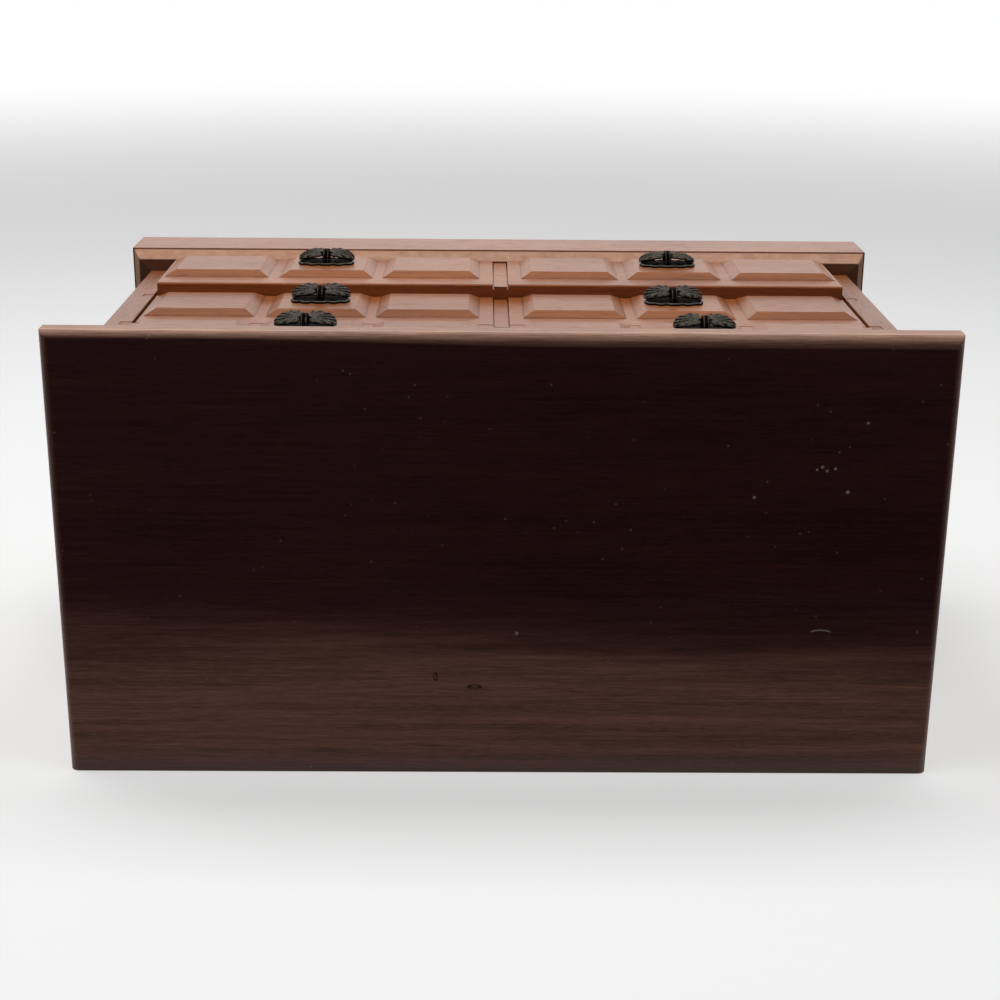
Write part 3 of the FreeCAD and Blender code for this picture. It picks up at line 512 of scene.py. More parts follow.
# each wood: its finish, look, grain direction, place in the grain, and wear
woodTable = {
    "front": ("stainedFronts", "front", "X", (0, 0, 0), frontWear("top_front")),
    "lowerFront": ("stainedLowerFront", "front", "X", (0, 0, 0), frontWear("lower_drawer_front")),
    "plinthX": ("stainedPlinthFront", "front", "X", (0.4, 0.2, 0.1), plinthWear),
    "plinthY": ("stainedAndShadedPlinthSides", "plinthSideShaded", "Y", (0.1, 0.5, 0.3), plinthWear),
    "lid": ("stainedLid", "lid", "X", (0.7, 0.1, 0.2), lidWear),
    "side": ("stainedSides", "side", "Z", (0.2, 0.3, 0.9), None),
    "back": ("stainedBack", "side", "X", (0.9, 0.6, 0.1), None),
    "bareX": ("bareWoodX", "inside", "X", (0.3, 0.8, 0.4), None),
    "bareY": ("bareWoodY", "inside", "Y", (0.6, 0.2, 0.5), None),
    "shelf": ("shelfWood", "inside", "X", (0.3, 0.8, 0.4), shelfWear),
}
woods = {key: woodFinish(name, woodLooks[look], along, shift, marks)
         for key, (name, look, along, shift, marks) in woodTable.items()}


# plain metals, with blotches of tarnish

metalLooks = {
    "agedBrass": {"base": (0.62, 0.43, 0.17), "tarnish": (0.20, 0.12, 0.05), "rough": 0.30, "amount": 0.45,
                  "grain": 420},
    "satinSteel": {"base": (0.42, 0.42, 0.43), "tarnish": (0.17, 0.15, 0.13), "rough": 0.34, "amount": 0.30,
                   "grain": 420},
    "springSteel": {"base": (0.10, 0.11, 0.14), "tarnish": (0.05, 0.04, 0.04), "rough": 0.36, "amount": 0.40,
                    "grain": 420},
    "castZinc": {"base": (0.38, 0.38, 0.38), "tarnish": (0.22, 0.21, 0.20), "rough": 0.52, "amount": 0.50,
                 "grain": 900},
}
tarnishLook = {
    "blotches": (110, 5, 0.6, 0.4),
    "blotchSpan": (0.42, 0.66),
    "blotchRough": 0.14,
    "grainNoise": (3, 0.6),
    "grainRough": 0.08,
    "relief": (0.02 * mm, 0.4),
}


def metalFinish(name):
    look = metalLooks[name]
    finish = Finish(name)
    blotch = finish.step(finish.noise(*tarnishLook["blotches"]), *tarnishLook["blotchSpan"])
    fine = finish.noise(look["grain"], *tarnishLook["grainNoise"])
    rough = look["rough"] + blotch * tarnishLook["blotchRough"] + (fine - 0.5) * tarnishLook["grainRough"]
    return finish.surface({
        "Base Color": finish.mix(blotch * look["amount"], look["base"], look["tarnish"]), "Metallic": 1.0,
        "Roughness": rough, "Normal": finish.bump(fine, *tarnishLook["relief"]),
    })


# bronze of the pulls, dark in the hollows and rubbed on the crests

bronzeLook = {
    "deep": (0.0030, 0.0030, 0.0028),
    "high": (0.175, 0.155, 0.130),
    "green": (0.020, 0.029, 0.025),
    "sheen": (0.45, 0.42, 0.40, 1.0),
    "shine": 0.30,
    "rough": 0.40,
    "hollowRough": 0.22,
    "patches": (700, 4, 0.65),
    "patchShare": 1.2,
    "rubSpan": (0.35, 1.1),
    "greenPatches": (420, 3, 0.6, 0.3, (3, 1, 2)),
    "greenSpan": (0.52, 0.72),
    "greenAmount": 0.45,
    "patchRough": 0.1,
    "metallic": 0.75,
    "greenDuller": 0.35,
    "relief": (0.06 * mm, 0.6),
}


def bronzeFinish():
    look = bronzeLook
    finish = Finish("antiqueBronze")
    relief = finish.add("ShaderNodeAttribute", {"attribute_name": "relief"}, {}, "Fac")  # 1 on the crests; low on the plates' fields, where it paints their shade
    patchy = finish.noise(*look["patches"])
    rubbed = finish.step(relief + (patchy - 0.5) * look["patchShare"], *look["rubSpan"])
    green = finish.step(finish.noise(*look["greenPatches"]), *look["greenSpan"])
    colour = finish.mix(rubbed, look["deep"], look["high"])
    colour = finish.mix(green * look["greenAmount"], colour, look["green"])
    rough = look["rough"] + look["hollowRough"] * (1 - rubbed) + (patchy - 0.5) * look["patchRough"]
    return finish.surface({
        "Base Color": colour, "Metallic": look["metallic"] - green * look["greenDuller"], "Roughness": rough,
        "Specular IOR Level": look["shine"], "Specular Tint": look["sheen"],
        "Normal": finish.bump(patchy, *look["relief"]),
    })


velvetLook = {
    "deep": (0.085, 0.005, 0.007),
    "lit": (0.200, 0.014, 0.018),
    "sheen": (1.0, 0.42, 0.38, 1.0),
    "sheenWeight": 0.55,
    "sheenRough": 0.35,
    "shine": 0.15,
    "rough": 0.92,
    "brushedRough": 0.10,
    "nap": (34, 4, 0.55, 1.2),
    "napSpan": (0.35, 0.68),
    "pile": (2600, 2, 0.7),
    "pileShare": 0.62,
    "relief": (0.25 * mm, 0.5),
}


def velvetFinish():
    look = velvetLook
    finish = Finish("wineVelvet")
    brushed = finish.step(finish.noise(*look["nap"]), *look["napSpan"])
    pile = finish.noise(*look["pile"])
    share = look["pileShare"]
    return finish.surface({
        "Base Color": finish.mix(brushed * (1 - share) + pile * share, look["deep"], look["lit"]),
        "Roughness": look["rough"] - brushed * look["brushedRough"], "Sheen Weight": look["sheenWeight"],
        "Sheen Roughness": look["sheenRough"], "Sheen Tint": look["sheen"],
        "Normal": finish.bump(pile, *look["relief"]), "Specular IOR Level": look["shine"],
    })


silverLook = {
    "clean": (0.87, 0.89, 0.89),
    "spot": (0.25, 0.24, 0.22),
    "haze": (22, 4, 0.6, 0.8),
    "smearSpan": (0.50, 0.75),
    "spotScale": 90,
    "spotSpan": (0.09, 0.04),
    "spottedSpan": (0.55, 0.70),
    "spotAmount": 0.6,
    "rough": 0.015,
    "smearRough": 0.03,
}


def mirrorFinish():
    look = silverLook
    finish = Finish("silveredGlass")
    haze = finish.noise(*look["haze"])
    smear = finish.step(haze, *look["smearSpan"])
    spots = finish.step(finish.cells(look["spotScale"]), *look["spotSpan"])
    spots = spots * finish.step(haze, *look["spottedSpan"])
    return finish.surface({
        "Base Color": finish.mix(spots * look["spotAmount"], look["clean"], look["spot"]), "Metallic": 1.0,
        "Roughness": look["rough"] + smear * look["smearRough"],
    })


brass, steel, blued, zinc = (metalFinish(name) for name in metalLooks)
bronze = bronzeFinish()
velvet = velvetFinish()
mirrorGlass = mirrorFinish()
print("finishes made")


# mesh helpers

def bodyOf(node):
    return frame["nodes"][node]["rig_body"]


def slotOf(node):
    return next(row["material_slot"] for row in frame["record"]["subparts"] if row["node"] == node)


def standPiece(name, mesh, material, body, slotName):
    mesh.polygons.foreach_set("use_smooth", [True] * len(mesh.polygons))
    mesh.materials.append(material)
    piece = bpy.data.objects.new(name, mesh)
    bpy.context.scene.collection.objects.link(piece)
    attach(piece, body)
    return piece


def newPiece(name, points, faces, body, slotName, material, relief=None):
    mesh = bpy.data.meshes.new(name)
    mesh.from_pydata([tuple(p) for p in points], [], faces)
    mesh.validate()
    build = bmesh.new()
    build.from_mesh(mesh)
    bmesh.ops.recalc_face_normals(build, faces=build.faces)
    build.to_mesh(mesh)
    build.free()
    if relief:
        layer = mesh.attributes.new("relief", "FLOAT", "POINT")
        layer.data.foreach_set("value", relief)
    return standPiece(name, mesh, material, body, slotName)


def joined(parts):
    points, faces, relief = [], [], []
    for p, f, r in parts:
        base = len(points)
        points.extend(p)
        faces.extend(tuple(v + base for v in face) for face in f)
        relief.extend(r)
    return points, faces, relief


def tubeMesh(rings, relief=0.0):
    # closed form through rings of points, all with the same count
    points = [p for ring in rings for p in ring]
    count = len(rings[0])
    faces = []
    for k in range(len(rings) - 1):
        for i in range(count):
            j = (i + 1) % count
            faces.append((k * count + i, k * count + j, (k + 1) * count + j, (k + 1) * count + i))
    faces.append(tuple(range(count - 1, -1, -1)))
    faces.append(tuple(range(len(points) - count, len(points))))
    return points, faces, [relief] * len(points)


def sheetFaces(cols, rows):
    # faces of two like sheets of points and of the border between them
    row = rows + 1
    sheet = (cols + 1) * row
    faces = []
    for i in range(cols):
        for j in range(rows):
            a = i * row + j
            faces.append((a, a + 1, a + row + 1, a + row))
            faces.append(tuple(v + sheet for v in (a, a + row, a + row + 1, a + 1)))
    border = [(i * row, (i + 1) * row) for i in range(cols)]
    border += [((i + 1) * row + rows, i * row + rows) for i in range(cols)]
    border += [(j + 1, j) for j in range(rows)]
    border += [(cols * row + j, cols * row + j + 1) for j in range(rows)]
    return faces + [(a, b, b + sheet, a + sheet) for a, b in border]


def angles(count):
    return [math.tau * k / count for k in range(count)]


# boards, with their arrises eased

boardLook = {
    "arris": 0.45 * mm,
    "lidArris": 0.35 * mm,
    "insideArris": 0.30 * mm,
    "segments": 2,
    "sharp": 20.0,                        # degrees
    "level": 0.4,                         # faces closer than this, in degrees, become one
    "tongueBack": 0.15 * mm,
}


def softened(node, material, width, extra=()):
    # the node's own shape with eased arrises, and extra blocks glued to it
    build = bmesh.new()
    build.from_mesh(frame["nodes"][node].data)
    for low, high in extra:
        block = bmesh.ops.create_cube(build, size=1.0)["verts"]
        bmesh.ops.scale(build, vec=high - low, verts=block)
        bmesh.ops.translate(build, vec=(low + high) / 2, verts=block)
    bmesh.ops.remove_doubles(build, verts=build.verts, dist=1e-6)
    bmesh.ops.dissolve_limit(build, angle_limit=math.radians(boardLook["level"]), verts=build.verts,
                             edges=build.edges)
    mesh = bpy.data.meshes.new(node + "_eased")
    build.to_mesh(mesh)
    build.free()
    piece = standPiece(mesh.name, mesh, material, bodyOf(node), slotOf(node))
    ease = piece.modifiers.new("ease", "BEVEL")
    ease.width = width
    ease.segments = boardLook["segments"]
    ease.limit_method = "ANGLE"
    ease.angle_limit = math.radians(boardLook["sharp"])
    ease.use_clamp_overlap = True
    flatten = piece.modifiers.new("flatten", "WEIGHTED_NORMAL")
    flatten.weight = 100
    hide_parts(node)


def tongueEnds(node):
    # the shelf's tongues show at the front edges of the two sides
    low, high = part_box(node)
    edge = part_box("case_side_right")[0]
    front = edge.y + boardLook["tongueBack"]
    return ((Vector((low.x, front, low.z)), Vector((-edge.x, low.y, high.z))),
            (Vector((edge.x, front, low.z)), Vector((high.x, low.y, high.z))))


outsideBoards = {
    "case_side_left": "side", "case_side_right": "side", "case_back": "back",
    "top_front": "front", "middle_drawer_front": "front", "lower_drawer_front": "lowerFront",
    "plinth_front": "plinthX", "plinth_left": "plinthY", "plinth_right": "plinthY",
}
for node, wood in outsideBoards.items():
    softened(node, woods[wood], boardLook["arris"])
softened("lid_board", woods["lid"], boardLook["lidArris"])
for node in ("base_board", "movement_wall"):
    softened(node, woods["bareX"], boardLook["insideArris"])
for node in ("dust_board", "tray_floor"):
    softened(node, woods["shelf"], boardLook["insideArris"], tongueEnds(node))
drawerBoards = {"side_left": "bareY", "side_right": "bareY", "back": "bareX", "bottom": "bareX"}
for drawer in ("lower_drawer_", "middle_drawer_"):
    for board, wood in drawerBoards.items():
        softened(drawer + board, woods[wood], boardLook["insideArris"])
print("boards eased")


# pulls: a scalloped plate, a strap over the bar, and two leaf-shaped wings on the bar

pullLook = {
    "halfWidth": 11.0 * mm,
    "halfHeight": 6.6 * mm,
    "barOut": 3.6 * mm,                   # from the panel to the handle's axis
    "tilts": {"lower": (3.0, 9.0), "middle": (14.0, 14.0), "top": (12.0, 14.0)},
}


def arcPoints(outline, steps):
    # points along the arcs through each corner, arc middle and corner
    points = []
    for i in range(0, len(outline) - 2, 2):
        a, b, c = (Vector(p) for p in outline[i:i + 3])
        for k in range(steps):
            t = k / steps
            points.append(a * (1 - t) * (1 - 2 * t) + b * 4 * t * (1 - t) + c * t * (2 * t - 1))
    points.append(Vector(outline[-1]))
    return points


def evenly(points, count):
    # the same line through points that are equally far apart
    lengths = [0.0]
    for a, b in zip(points, points[1:]):
        lengths.append(lengths[-1] + (b - a).length)
    result = []
    k = 0
    for i in range(count):
        want = lengths[-1] * i / (count - 1)
        while k < len(lengths) - 2 and lengths[k + 1] < want:
            k += 1
        span = max(lengths[k + 1] - lengths[k], 1e-9)
        result.append(points[k].lerp(points[k + 1], (want - lengths[k]) / span))
    return result


plateLook = {
    # shares of the half width and half height: corner, arc middle, corner and so on
    "outline": [(0.0, 0.94), (0.15, 0.91), (0.27, 0.74), (0.47, 0.96), (0.67, 0.70), (0.87, 0.72),
                (0.96, 0.40), (1.00, 0.14), (0.93, -0.14), (0.88, -0.48), (0.65, -0.55), (0.54, -0.82),
                (0.33, -0.73), (0.21, -0.96), (0.0, -1.00)],
    "arcSteps": 8,
    "thick": 0.9 * mm,
    "rings": (1.0, 1.0, 0.985, 0.955, 0.92, 0.88, 0.80, 0.68, 0.54, 0.38, 0.20),
    "edge": 0.55,                         # heights, as shares of the thickness
    "rimFoot": 0.80,
    "groove": 0.72,
    "field": 0.78,
    "rimWithin": 0.93,                    # places, as shares of the outline
    "rimCrest": 0.955,
    "rimHalf": 0.03,
    "fieldWithin": 0.85,
    "rim": 0.34 * mm,
    "dome": 0.375 * mm,
    "lobe": 0.16 * mm,
    "lobes": 10,
    # the plate's field keeps a low relief, painted shade under the wings
    "rubbedRings": (0.955, 0.985),
    "shadedRelief": 0.05,
    "lobeRelief": 0.3,
}


def plateLift(level, share, lobe):
    look = plateLook
    thick = look["thick"]
    if level < 2:
        return level * look["edge"] * thick
    if share > look["rimWithin"]:
        return thick * look["rimFoot"] + look["rim"] * (1 - abs(share - look["rimCrest"]) / look["rimHalf"])
    if share > look["fieldWithin"]:
        return thick * look["groove"]
    dome = 1 - (share / look["fieldWithin"]) ** 2
    return thick * look["field"] + look["dome"] * dome + look["lobe"] * lobe * share


def plateMesh():
    look = plateLook
    right = arcPoints(look["outline"], look["arcSteps"])
    outline = right + [Vector((-p.x, p.y)) for p in reversed(right[1:-1])]
    rings, relief = [], []
    for level, share in enumerate(look["rings"]):
        ring = []
        for p in outline:
            lobe = 0.5 + 0.5 * math.cos(math.atan2(p.y, p.x) * look["lobes"])
            ring.append((p.x * share * pullLook["halfWidth"], -plateLift(level, share, lobe),
                         p.y * share * pullLook["halfHeight"]))
            plain = look["shadedRelief"] + look["lobeRelief"] * lobe * (share < look["fieldWithin"])
            relief.append(1.0 if share in look["rubbedRings"] else plain)
        rings.append(ring)
    points, faces, _ = tubeMesh(rings)
    return points, faces, relief


wingLook = {
    # shares of the half width and of the drop, as for the plate
    "upper": [(0.145, 0.15), (0.24, 0.29), (0.38, 0.27), (0.58, 0.29), (0.76, 0.16), (0.93, 0.09),
              (1.00, -0.12)],
    "lower": [(0.145, -0.66), (0.24, -0.78), (0.34, -0.76), (0.48, -0.90), (0.62, -0.80), (0.76, -0.84),
              (0.88, -0.66), (0.97, -0.50), (1.00, -0.20)],
    "crests": [(0.20, -0.72), (0.34, -0.76), (0.48, -0.88), (0.62, -0.80), (0.77, -0.82), (0.89, -0.62),
               (0.98, -0.36), (0.96, -0.04), (0.77, 0.12), (0.52, 0.25), (0.28, 0.26)],
    "arcSteps": 12,
    "mesh": (76, 40),
    "drop": 8.0 * mm,
    "thick": 1.5 * mm,
    "arch": 2.2 * mm,
    "root": 0.96 * mm,                    # the ribs spread from here
    "rib": 0.30 * mm,
    "ribWidth": (0.28 * mm, 0.70 * mm),   # at its root and at its crest
    "vein": 0.14,
    "veinPitch": 0.22 * mm,
    "veinReach": 0.7 * mm,
    "veinSlant": 0.8,
    "edge": 0.7 * mm,                     # width of the rounded border
    "innerEdge": 0.25 * mm,
    "tip": 0.8,
    "frontShare": 0.62,
    "backShare": 0.75,
    "reliefShares": (0.12, 0.85, 0.5),    # even, by the ribs, and along the border
    "backRelief": 0.1,
}


def ribHeight(p, root, crests):
    look = wingLook
    thin, wide = look["ribWidth"]
    best = 0.0
    for crest in crests:
        line = crest - root
        t = max(0.0, min(1.0, (p - root).dot(line) / line.length_squared))
        gap = (p - root - line * t).length
        hump = math.exp(-(gap / (thin + (wide - thin) * t)) ** 2)
        wave = math.cos((t * line.length - gap * look["veinSlant"]) / look["veinPitch"])
        best = max(best, hump + look["vein"] * wave * math.exp(-(gap / look["veinReach"]) ** 2))
    return best


def wingMesh(side):
    look = wingLook
    across, down = look["mesh"]
    halfWidth = pullLook["halfWidth"]
    upper, lower = (
        [Vector((p.x * halfWidth, p.y * look["drop"]))
         for p in evenly(arcPoints(look[line], look["arcSteps"]), across + 1)]
        for line in ("upper", "lower"))
    root = Vector((look["root"], 0.0))
    crests = [Vector((x * halfWidth, z * look["drop"])) for x, z in look["crests"]]
    radius = (halfWidth ** 2 + look["arch"] ** 2) / (2 * look["arch"])
    even, byRib, byBorder = look["reliefShares"]
    points, relief = [], []
    for face in ("front", "back"):
        for i in range(across + 1):
            for j in range(down + 1):
                t = j / down
                p = upper[i].lerp(lower[i], t)
                inward = min(min(t, 1 - t) * (upper[i] - lower[i]).length,
                             (across - i) / across * halfWidth * look["tip"],
                             p.x - upper[0].x + look["innerEdge"])
                ease = min(1.0, max(0.0, inward) / look["edge"])
                body = look["thick"] / 2 * math.sqrt(1 - (1 - ease) ** 2)
                middle = radius - math.sqrt(radius ** 2 - p.x ** 2) - pullLook["barOut"]
                if face == "front":
                    rib = ribHeight(p, root, crests)
                    y = middle - body * look["frontShare"] - look["rib"] * rib * ease
                    relief.append(min(1.0, even + rib * byRib + (1 - ease) * byBorder))
                else:
                    y = middle + body * look["backShare"]
                    relief.append(look["backRelief"])
                points.append((side * p.x, y, p.y))
    return points, sheetFaces(across, down), relief


barLook = {
    "radius": 1.0 * mm,
    # millimetres along the bar, and shares of its radius
    "profile": ((-2.6, 0.55), (-2.5, 0.95), (-1.9, 1.05), (-1.55, 1.0), (-1.45, 0.86), (0.0, 0.84),
                (1.45, 0.86), (1.55, 1.0), (1.9, 1.05), (2.5, 0.95), (2.6, 0.55)),
    "round": 20,
    "relief": 0.35,
}


def barMesh():
    rings = []
    for x, share in barLook["profile"]:
        r = share * barLook["radius"]
        rings.append([(x * mm, r * math.cos(a) - pullLook["barOut"], r * math.sin(a))
                      for a in angles(barLook["round"])])
    return tubeMesh(rings, barLook["relief"])


strapLook = {
    "half": 1.3 * mm,
    "out": 1.4 * mm,                      # from the panel to the middle of its arc
    "inner": 3.55 * mm,
    "outer": 4.45 * mm,
    # across the strap and out of it, as shares
    "section": ((-1.0, 0.0), (-1.0, 0.55), (-0.86, 0.86), (-0.62, 1.0), (-0.30, 0.90), (0.0, 0.86),
                (0.30, 0.90), (0.62, 1.0), (0.86, 0.86), (1.0, 0.55), (1.0, 0.0)),
    "crests": (3, 7),                     # points of the section that are rubbed
    "steps": 36,
    "rubbed": 0.85,
    "plain": 0.25,
}


def strapMesh():
    # the broad strap over the bar, its feet on the plate
    look = strapLook
    section = look["section"]
    start = math.acos((plateLook["thick"] - look["out"]) / look["outer"])
    rings = []
    for k in range(look["steps"] + 1):
        angle = -start + 2 * start * k / look["steps"]
        ring = []
        for across, out in section:
            r = look["inner"] + (look["outer"] - look["inner"]) * out
            ring.append((across * look["half"], -look["out"] - r * math.cos(angle), r * math.sin(angle)))
        rings.append(ring)
    points, faces, _ = tubeMesh(rings)
    relief = [look["rubbed"] if i % len(section) in look["crests"] else look["plain"]
              for i in range(len(points))]
    return points, faces, relief


footLook = {
    "half": (1.35 * mm, 4.1 * mm),
    # millimetres out of the panel, and shares of the half sizes
    "rings": ((0.5, 1.0), (1.1, 1.0), (1.32, 0.86), (1.42, 0.6)),
    "round": 28,
    "shank": 1.1 * mm,
    "shankRound": 16,
    "shankFrom": -0.6 * mm,
    "shankTo": 10.2 * mm,
    "behind": 11.2 * mm,                  # from the panel's face to the back of the front
    "prong": (-6.0, -5.7, -0.5, 0.5, 5.7, 6.0),
    "prongHalf": (1.05 * mm, 0.42 * mm),
    "prongBack": 0.45 * mm,
    "prongRise": 0.35 * mm,
    "prongEnd": 0.7,
    "padRelief": 0.3,
    "shankRelief": 0.1,
}


def ovalRing(wide, y, tall, count):
    return [(wide * math.cos(a), y, tall * math.sin(a)) for a in angles(count)]


def footMesh():
    # small domed pad under the strap, with the shank and its spread prongs behind the front
    look = footLook
    wide, tall = look["half"]
    pad = [ovalRing(wide * share, -out * mm, tall * share, look["round"]) for out, share in look["rings"]]
    shank = [ovalRing(look["shank"], y, look["shank"], look["shankRound"])
             for y in (look["shankFrom"], look["shankTo"])]
    wide, thick = look["prongHalf"]
    prongs = []
    for z in look["prong"]:
        share = look["prongEnd"] if abs(z) == max(look["prong"]) else 1.0
        y = look["behind"] - look["prongBack"] - (look["prongRise"] if abs(z) < 1 else 0.0)
        prongs.append([(sx * wide * share, y + sy * thick * share, z * mm)
                       for sx, sy in ((-1, -1), (1, -1), (1, 1), (-1, 1))])
    return joined([tubeMesh(pad, look["padRelief"]), tubeMesh(shank, look["shankRelief"]),
                   tubeMesh(prongs, look["shankRelief"])])


def movedMesh(part, spot, tilt=0.0):
    # tilted about the bar, then set at its spot on the panel
    points, faces, relief = part
    pivot = Vector((0, -pullLook["barOut"], 0))
    turn = Matrix.Rotation(math.radians(tilt), 4, (-1, 0, 0))
    place = Matrix.Translation(spot) @ Matrix.Translation(pivot) @ turn @ Matrix.Translation(-pivot)
    return [place @ Vector(p) for p in points], faces, relief


def pullPiece(name, part, node):
    points, faces, relief = part
    piece = newPiece(name, points, faces, bodyOf(node), "antique_bronze", bronze, relief)
    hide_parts(node)


pivots = {joint["name"]: Vector(joint["pos_m"]) for joint in frame["joints"] if "pos_m" in joint}
plate = plateMesh()
handle = joined([wingMesh(-1), wingMesh(1), barMesh()])
strap = joined([strapMesh(), footMesh()])
for row, tilts in pullLook["tilts"].items():
    spots = []
    for side, tilt in zip(("left", "right"), tilts):
        node = row + "_pull_" + side
        spots.append(pivots[node + "_swing"] + Vector((0, pullLook["barOut"], 0)))
        pullPiece(node + "_handle", movedMesh(handle, spots[-1], tilt), node)
    for kind, mesh, name in (("plates", plate, "_backplates"), ("loops", strap, "_straps")):
        whole = joined([movedMesh(mesh, spot) for spot in spots])
        pullPiece(row + "_pull" + name, whole, row + "_pull_" + kind)
print("pulls made")


# velvet linings and pads

padLook = {
    "edge": 1.2 * mm,                     # width of the rounded border
    "wave": 0.12 * mm,
    "border": 0.45,                       # height at the border, as a share
    "swellScale": 55,
    "swellMiddle": 0.6,
    "swellEdge": 3,                       # in widths of the border
}


def padPart(corner, alongU, alongV, rise, steps, edge=padLook["edge"], wave=padLook["wave"], back=None,
            seed=0.0):
    # a closed pad: flat back on corner + u + v, and a soft face raised along rise
    corner, alongU, alongV, rise = (Vector(v) for v in (corner, alongU, alongV, rise))
    thick = rise.length
    up = rise.normalized()
    border = padLook["border"]
    points = []
    cols, rows = steps
    for face in ("soft", "back"):
        for i in range(cols + 1):
            u = 0.5 - 0.5 * math.cos(math.pi * i / cols)
            for j in range(rows + 1):
                v = 0.5 - 0.5 * math.cos(math.pi * j / rows)
                p = corner + alongU * u + alongV * v
                if face == "back":
                    points.append(p + up * (back(p) if back else 0.0))
                    continue
                inward = min(min(u, 1 - u) * alongU.length, min(v, 1 - v) * alongV.length)
                ease = min(1.0, inward / edge)
                lift = thick * (border + (1 - border) * math.sqrt(max(0.0, 1 - (1 - ease) ** 2)))
                swell = noise.noise(p * padLook["swellScale"] + Vector((seed, seed, seed)))
                fade = min(1.0, inward / (padLook["swellEdge"] * edge))
                lift += wave * (swell - padLook["swellMiddle"]) * fade
                points.append(p + up * lift)
    return points, sheetFaces(cols, rows), [0.0] * len(points)


def velvetPiece(name, parts, node):
    points, faces, _ = joined(parts)
    piece = newPiece(name, points, faces, bodyOf(node), "velvet", velvet)
    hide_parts(node)


def wallPads(low, high, base, thick, steps, sideSteps, seed):
    # round the inside of a box, the side pads between the front and back ones
    rise = (0, 0, high.z - base)
    wide = (high.x - low.x, 0, 0)
    deep = (0, high.y - low.y - 2 * thick, 0)
    inner = low.y + thick
    return [
        padPart((low.x, low.y, base), wide, rise, (0, thick, 0), steps, seed=seed),
        padPart((low.x, high.y, base), wide, rise, (0, -thick, 0), steps, seed=seed + 1),
        padPart((low.x, inner, base), deep, rise, (thick, 0, 0), sideSteps, seed=seed + 2),
        padPart((high.x, inner, base), deep, rise, (-thick, 0, 0), sideSteps, seed=seed + 3),
    ]


liningLook = {
    "floor": 1.5 * mm,
    "floorSteps": (60, 40),
    "wallSteps": (60, 14),
    "sideSteps": (36, 14),
    "fill": 0.3,
}


def drawerLining(drawer):
    low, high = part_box(drawer + "_lining")
    thick = liningLook["floor"]
    wide, deep, _ = high - low
    floor = padPart(low, (wide, 0, 0), (0, deep, 0), (0, 0, thick), liningLook["floorSteps"], seed=1.0)
    walls = wallPads(low, high, low.z + thick, thick, liningLook["wallSteps"], liningLook["sideSteps"], 2.0)
    velvetPiece(drawer + "_velvet", [floor] + walls, drawer + "_lining")


trayLook = {
    "wall": 1.6 * mm,
    "wallSteps": (70, 18),
    "sideSteps": (40, 18),
    "wallFill": 0.3,
    "floorSteps": (80, 50),
    "floorEdge": 2.5 * mm,
    "floorWave": 0.2 * mm,
    "floorFill": 0.4,
    "dividerSteps": (40, 18),
    "dividerEdge": 2.2 * mm,
    "dividerWave": 0.1 * mm,
    "dividerFill": 0.4,
}


def trayLinings():
    look = trayLook
    low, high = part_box("tray_floor_pad")
    wide, deep, tall = high - low
    floor = padPart(low, (wide, 0, 0), (0, deep, 0), (0, 0, tall), look["floorSteps"], look["floorEdge"],
                    look["floorWave"])
    velvetPiece("tray_floor_velvet", [floor], "tray_floor_pad")
    low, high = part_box("tray_wall_linings")
    walls = wallPads(low, high, low.z, look["wall"], look["wallSteps"], look["sideSteps"], 6.0)
    velvetPiece("tray_wall_velvet", walls, "tray_wall_linings")
    low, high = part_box("tray_divider")
    wide, deep, tall = high - low
    middle = Vector(((low.x + high.x) / 2, low.y, low.z))
    halves = []
    for way, seed in ((1, 10.0), (-1, 11.0)):
        rise = (way * wide / 2, 0, 0)
        halves.append(padPart(middle, (0, deep, 0), (0, 0, tall), rise, look["dividerSteps"],
                              look["dividerEdge"], look["dividerWave"], seed=seed))
    velvetPiece("tray_divider_velvet", halves, "tray_divider")


rollLook = {
    "count": 8,
    "gap": 0.6 * mm,
    "steps": (46, 32),
    "endRound": 4.5 * mm,
    "endShare": 0.82,
    "pucker": 0.22 * mm,
    "puckers": 9,
    "puckerReach": 5 * mm,
    "sway": 0.15 * mm,
    "swayScale": 60,
    "swayPitch": 3.1,
    "fill": 0.75,
}


def ringRolls():
    # foam rolls under velvet, drawn in at their ends
    low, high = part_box("ring_rolls")
    look = rollLook
    steps, around = look["steps"]
    pitch = (high.y - low.y + look["gap"]) / look["count"]
    radius = (pitch - look["gap"]) / 2
    shoulder = high.z - radius - low.z
    parts = []
    for k in range(look["count"]):
        centre = low.y + radius + k * pitch
        rings = []
        for i in range(steps + 1):
            u = 0.5 - 0.5 * math.cos(math.pi * i / steps)
            x = low.x + (high.x - low.x) * u
            inward = min(u, 1 - u) * (high.x - low.x)
            ease = min(1.0, inward / look["endRound"])
            shrink = look["endShare"] + (1 - look["endShare"]) * math.sqrt(max(0.0, 1 - (1 - ease) ** 2))
            crease = look["pucker"] * math.exp(-inward / look["puckerReach"])
            sway = look["sway"] * noise.noise(Vector((x * look["swayScale"], k * look["swayPitch"], 0)))
            ring = []
            for j in range(around + 1):
                angle = math.pi * j / around
                r = radius * shrink - crease * (0.5 + 0.5 * math.cos(angle * look["puckers"] + k))
                ring.append((x, centre + r * math.cos(angle) + sway,
                             low.z + shoulder * shrink + r * math.sin(angle)))
            ring.append((x, centre - radius * shrink, low.z))
            ring.append((x, centre + radius * shrink, low.z))
            rings.append(ring)
        parts.append(tubeMesh(rings))
    velvetPiece("ring_roll_velvet", parts, "ring_rolls")


mirrorLook = {"bevel": 7.0 * mm, "drop": 0.9 * mm}


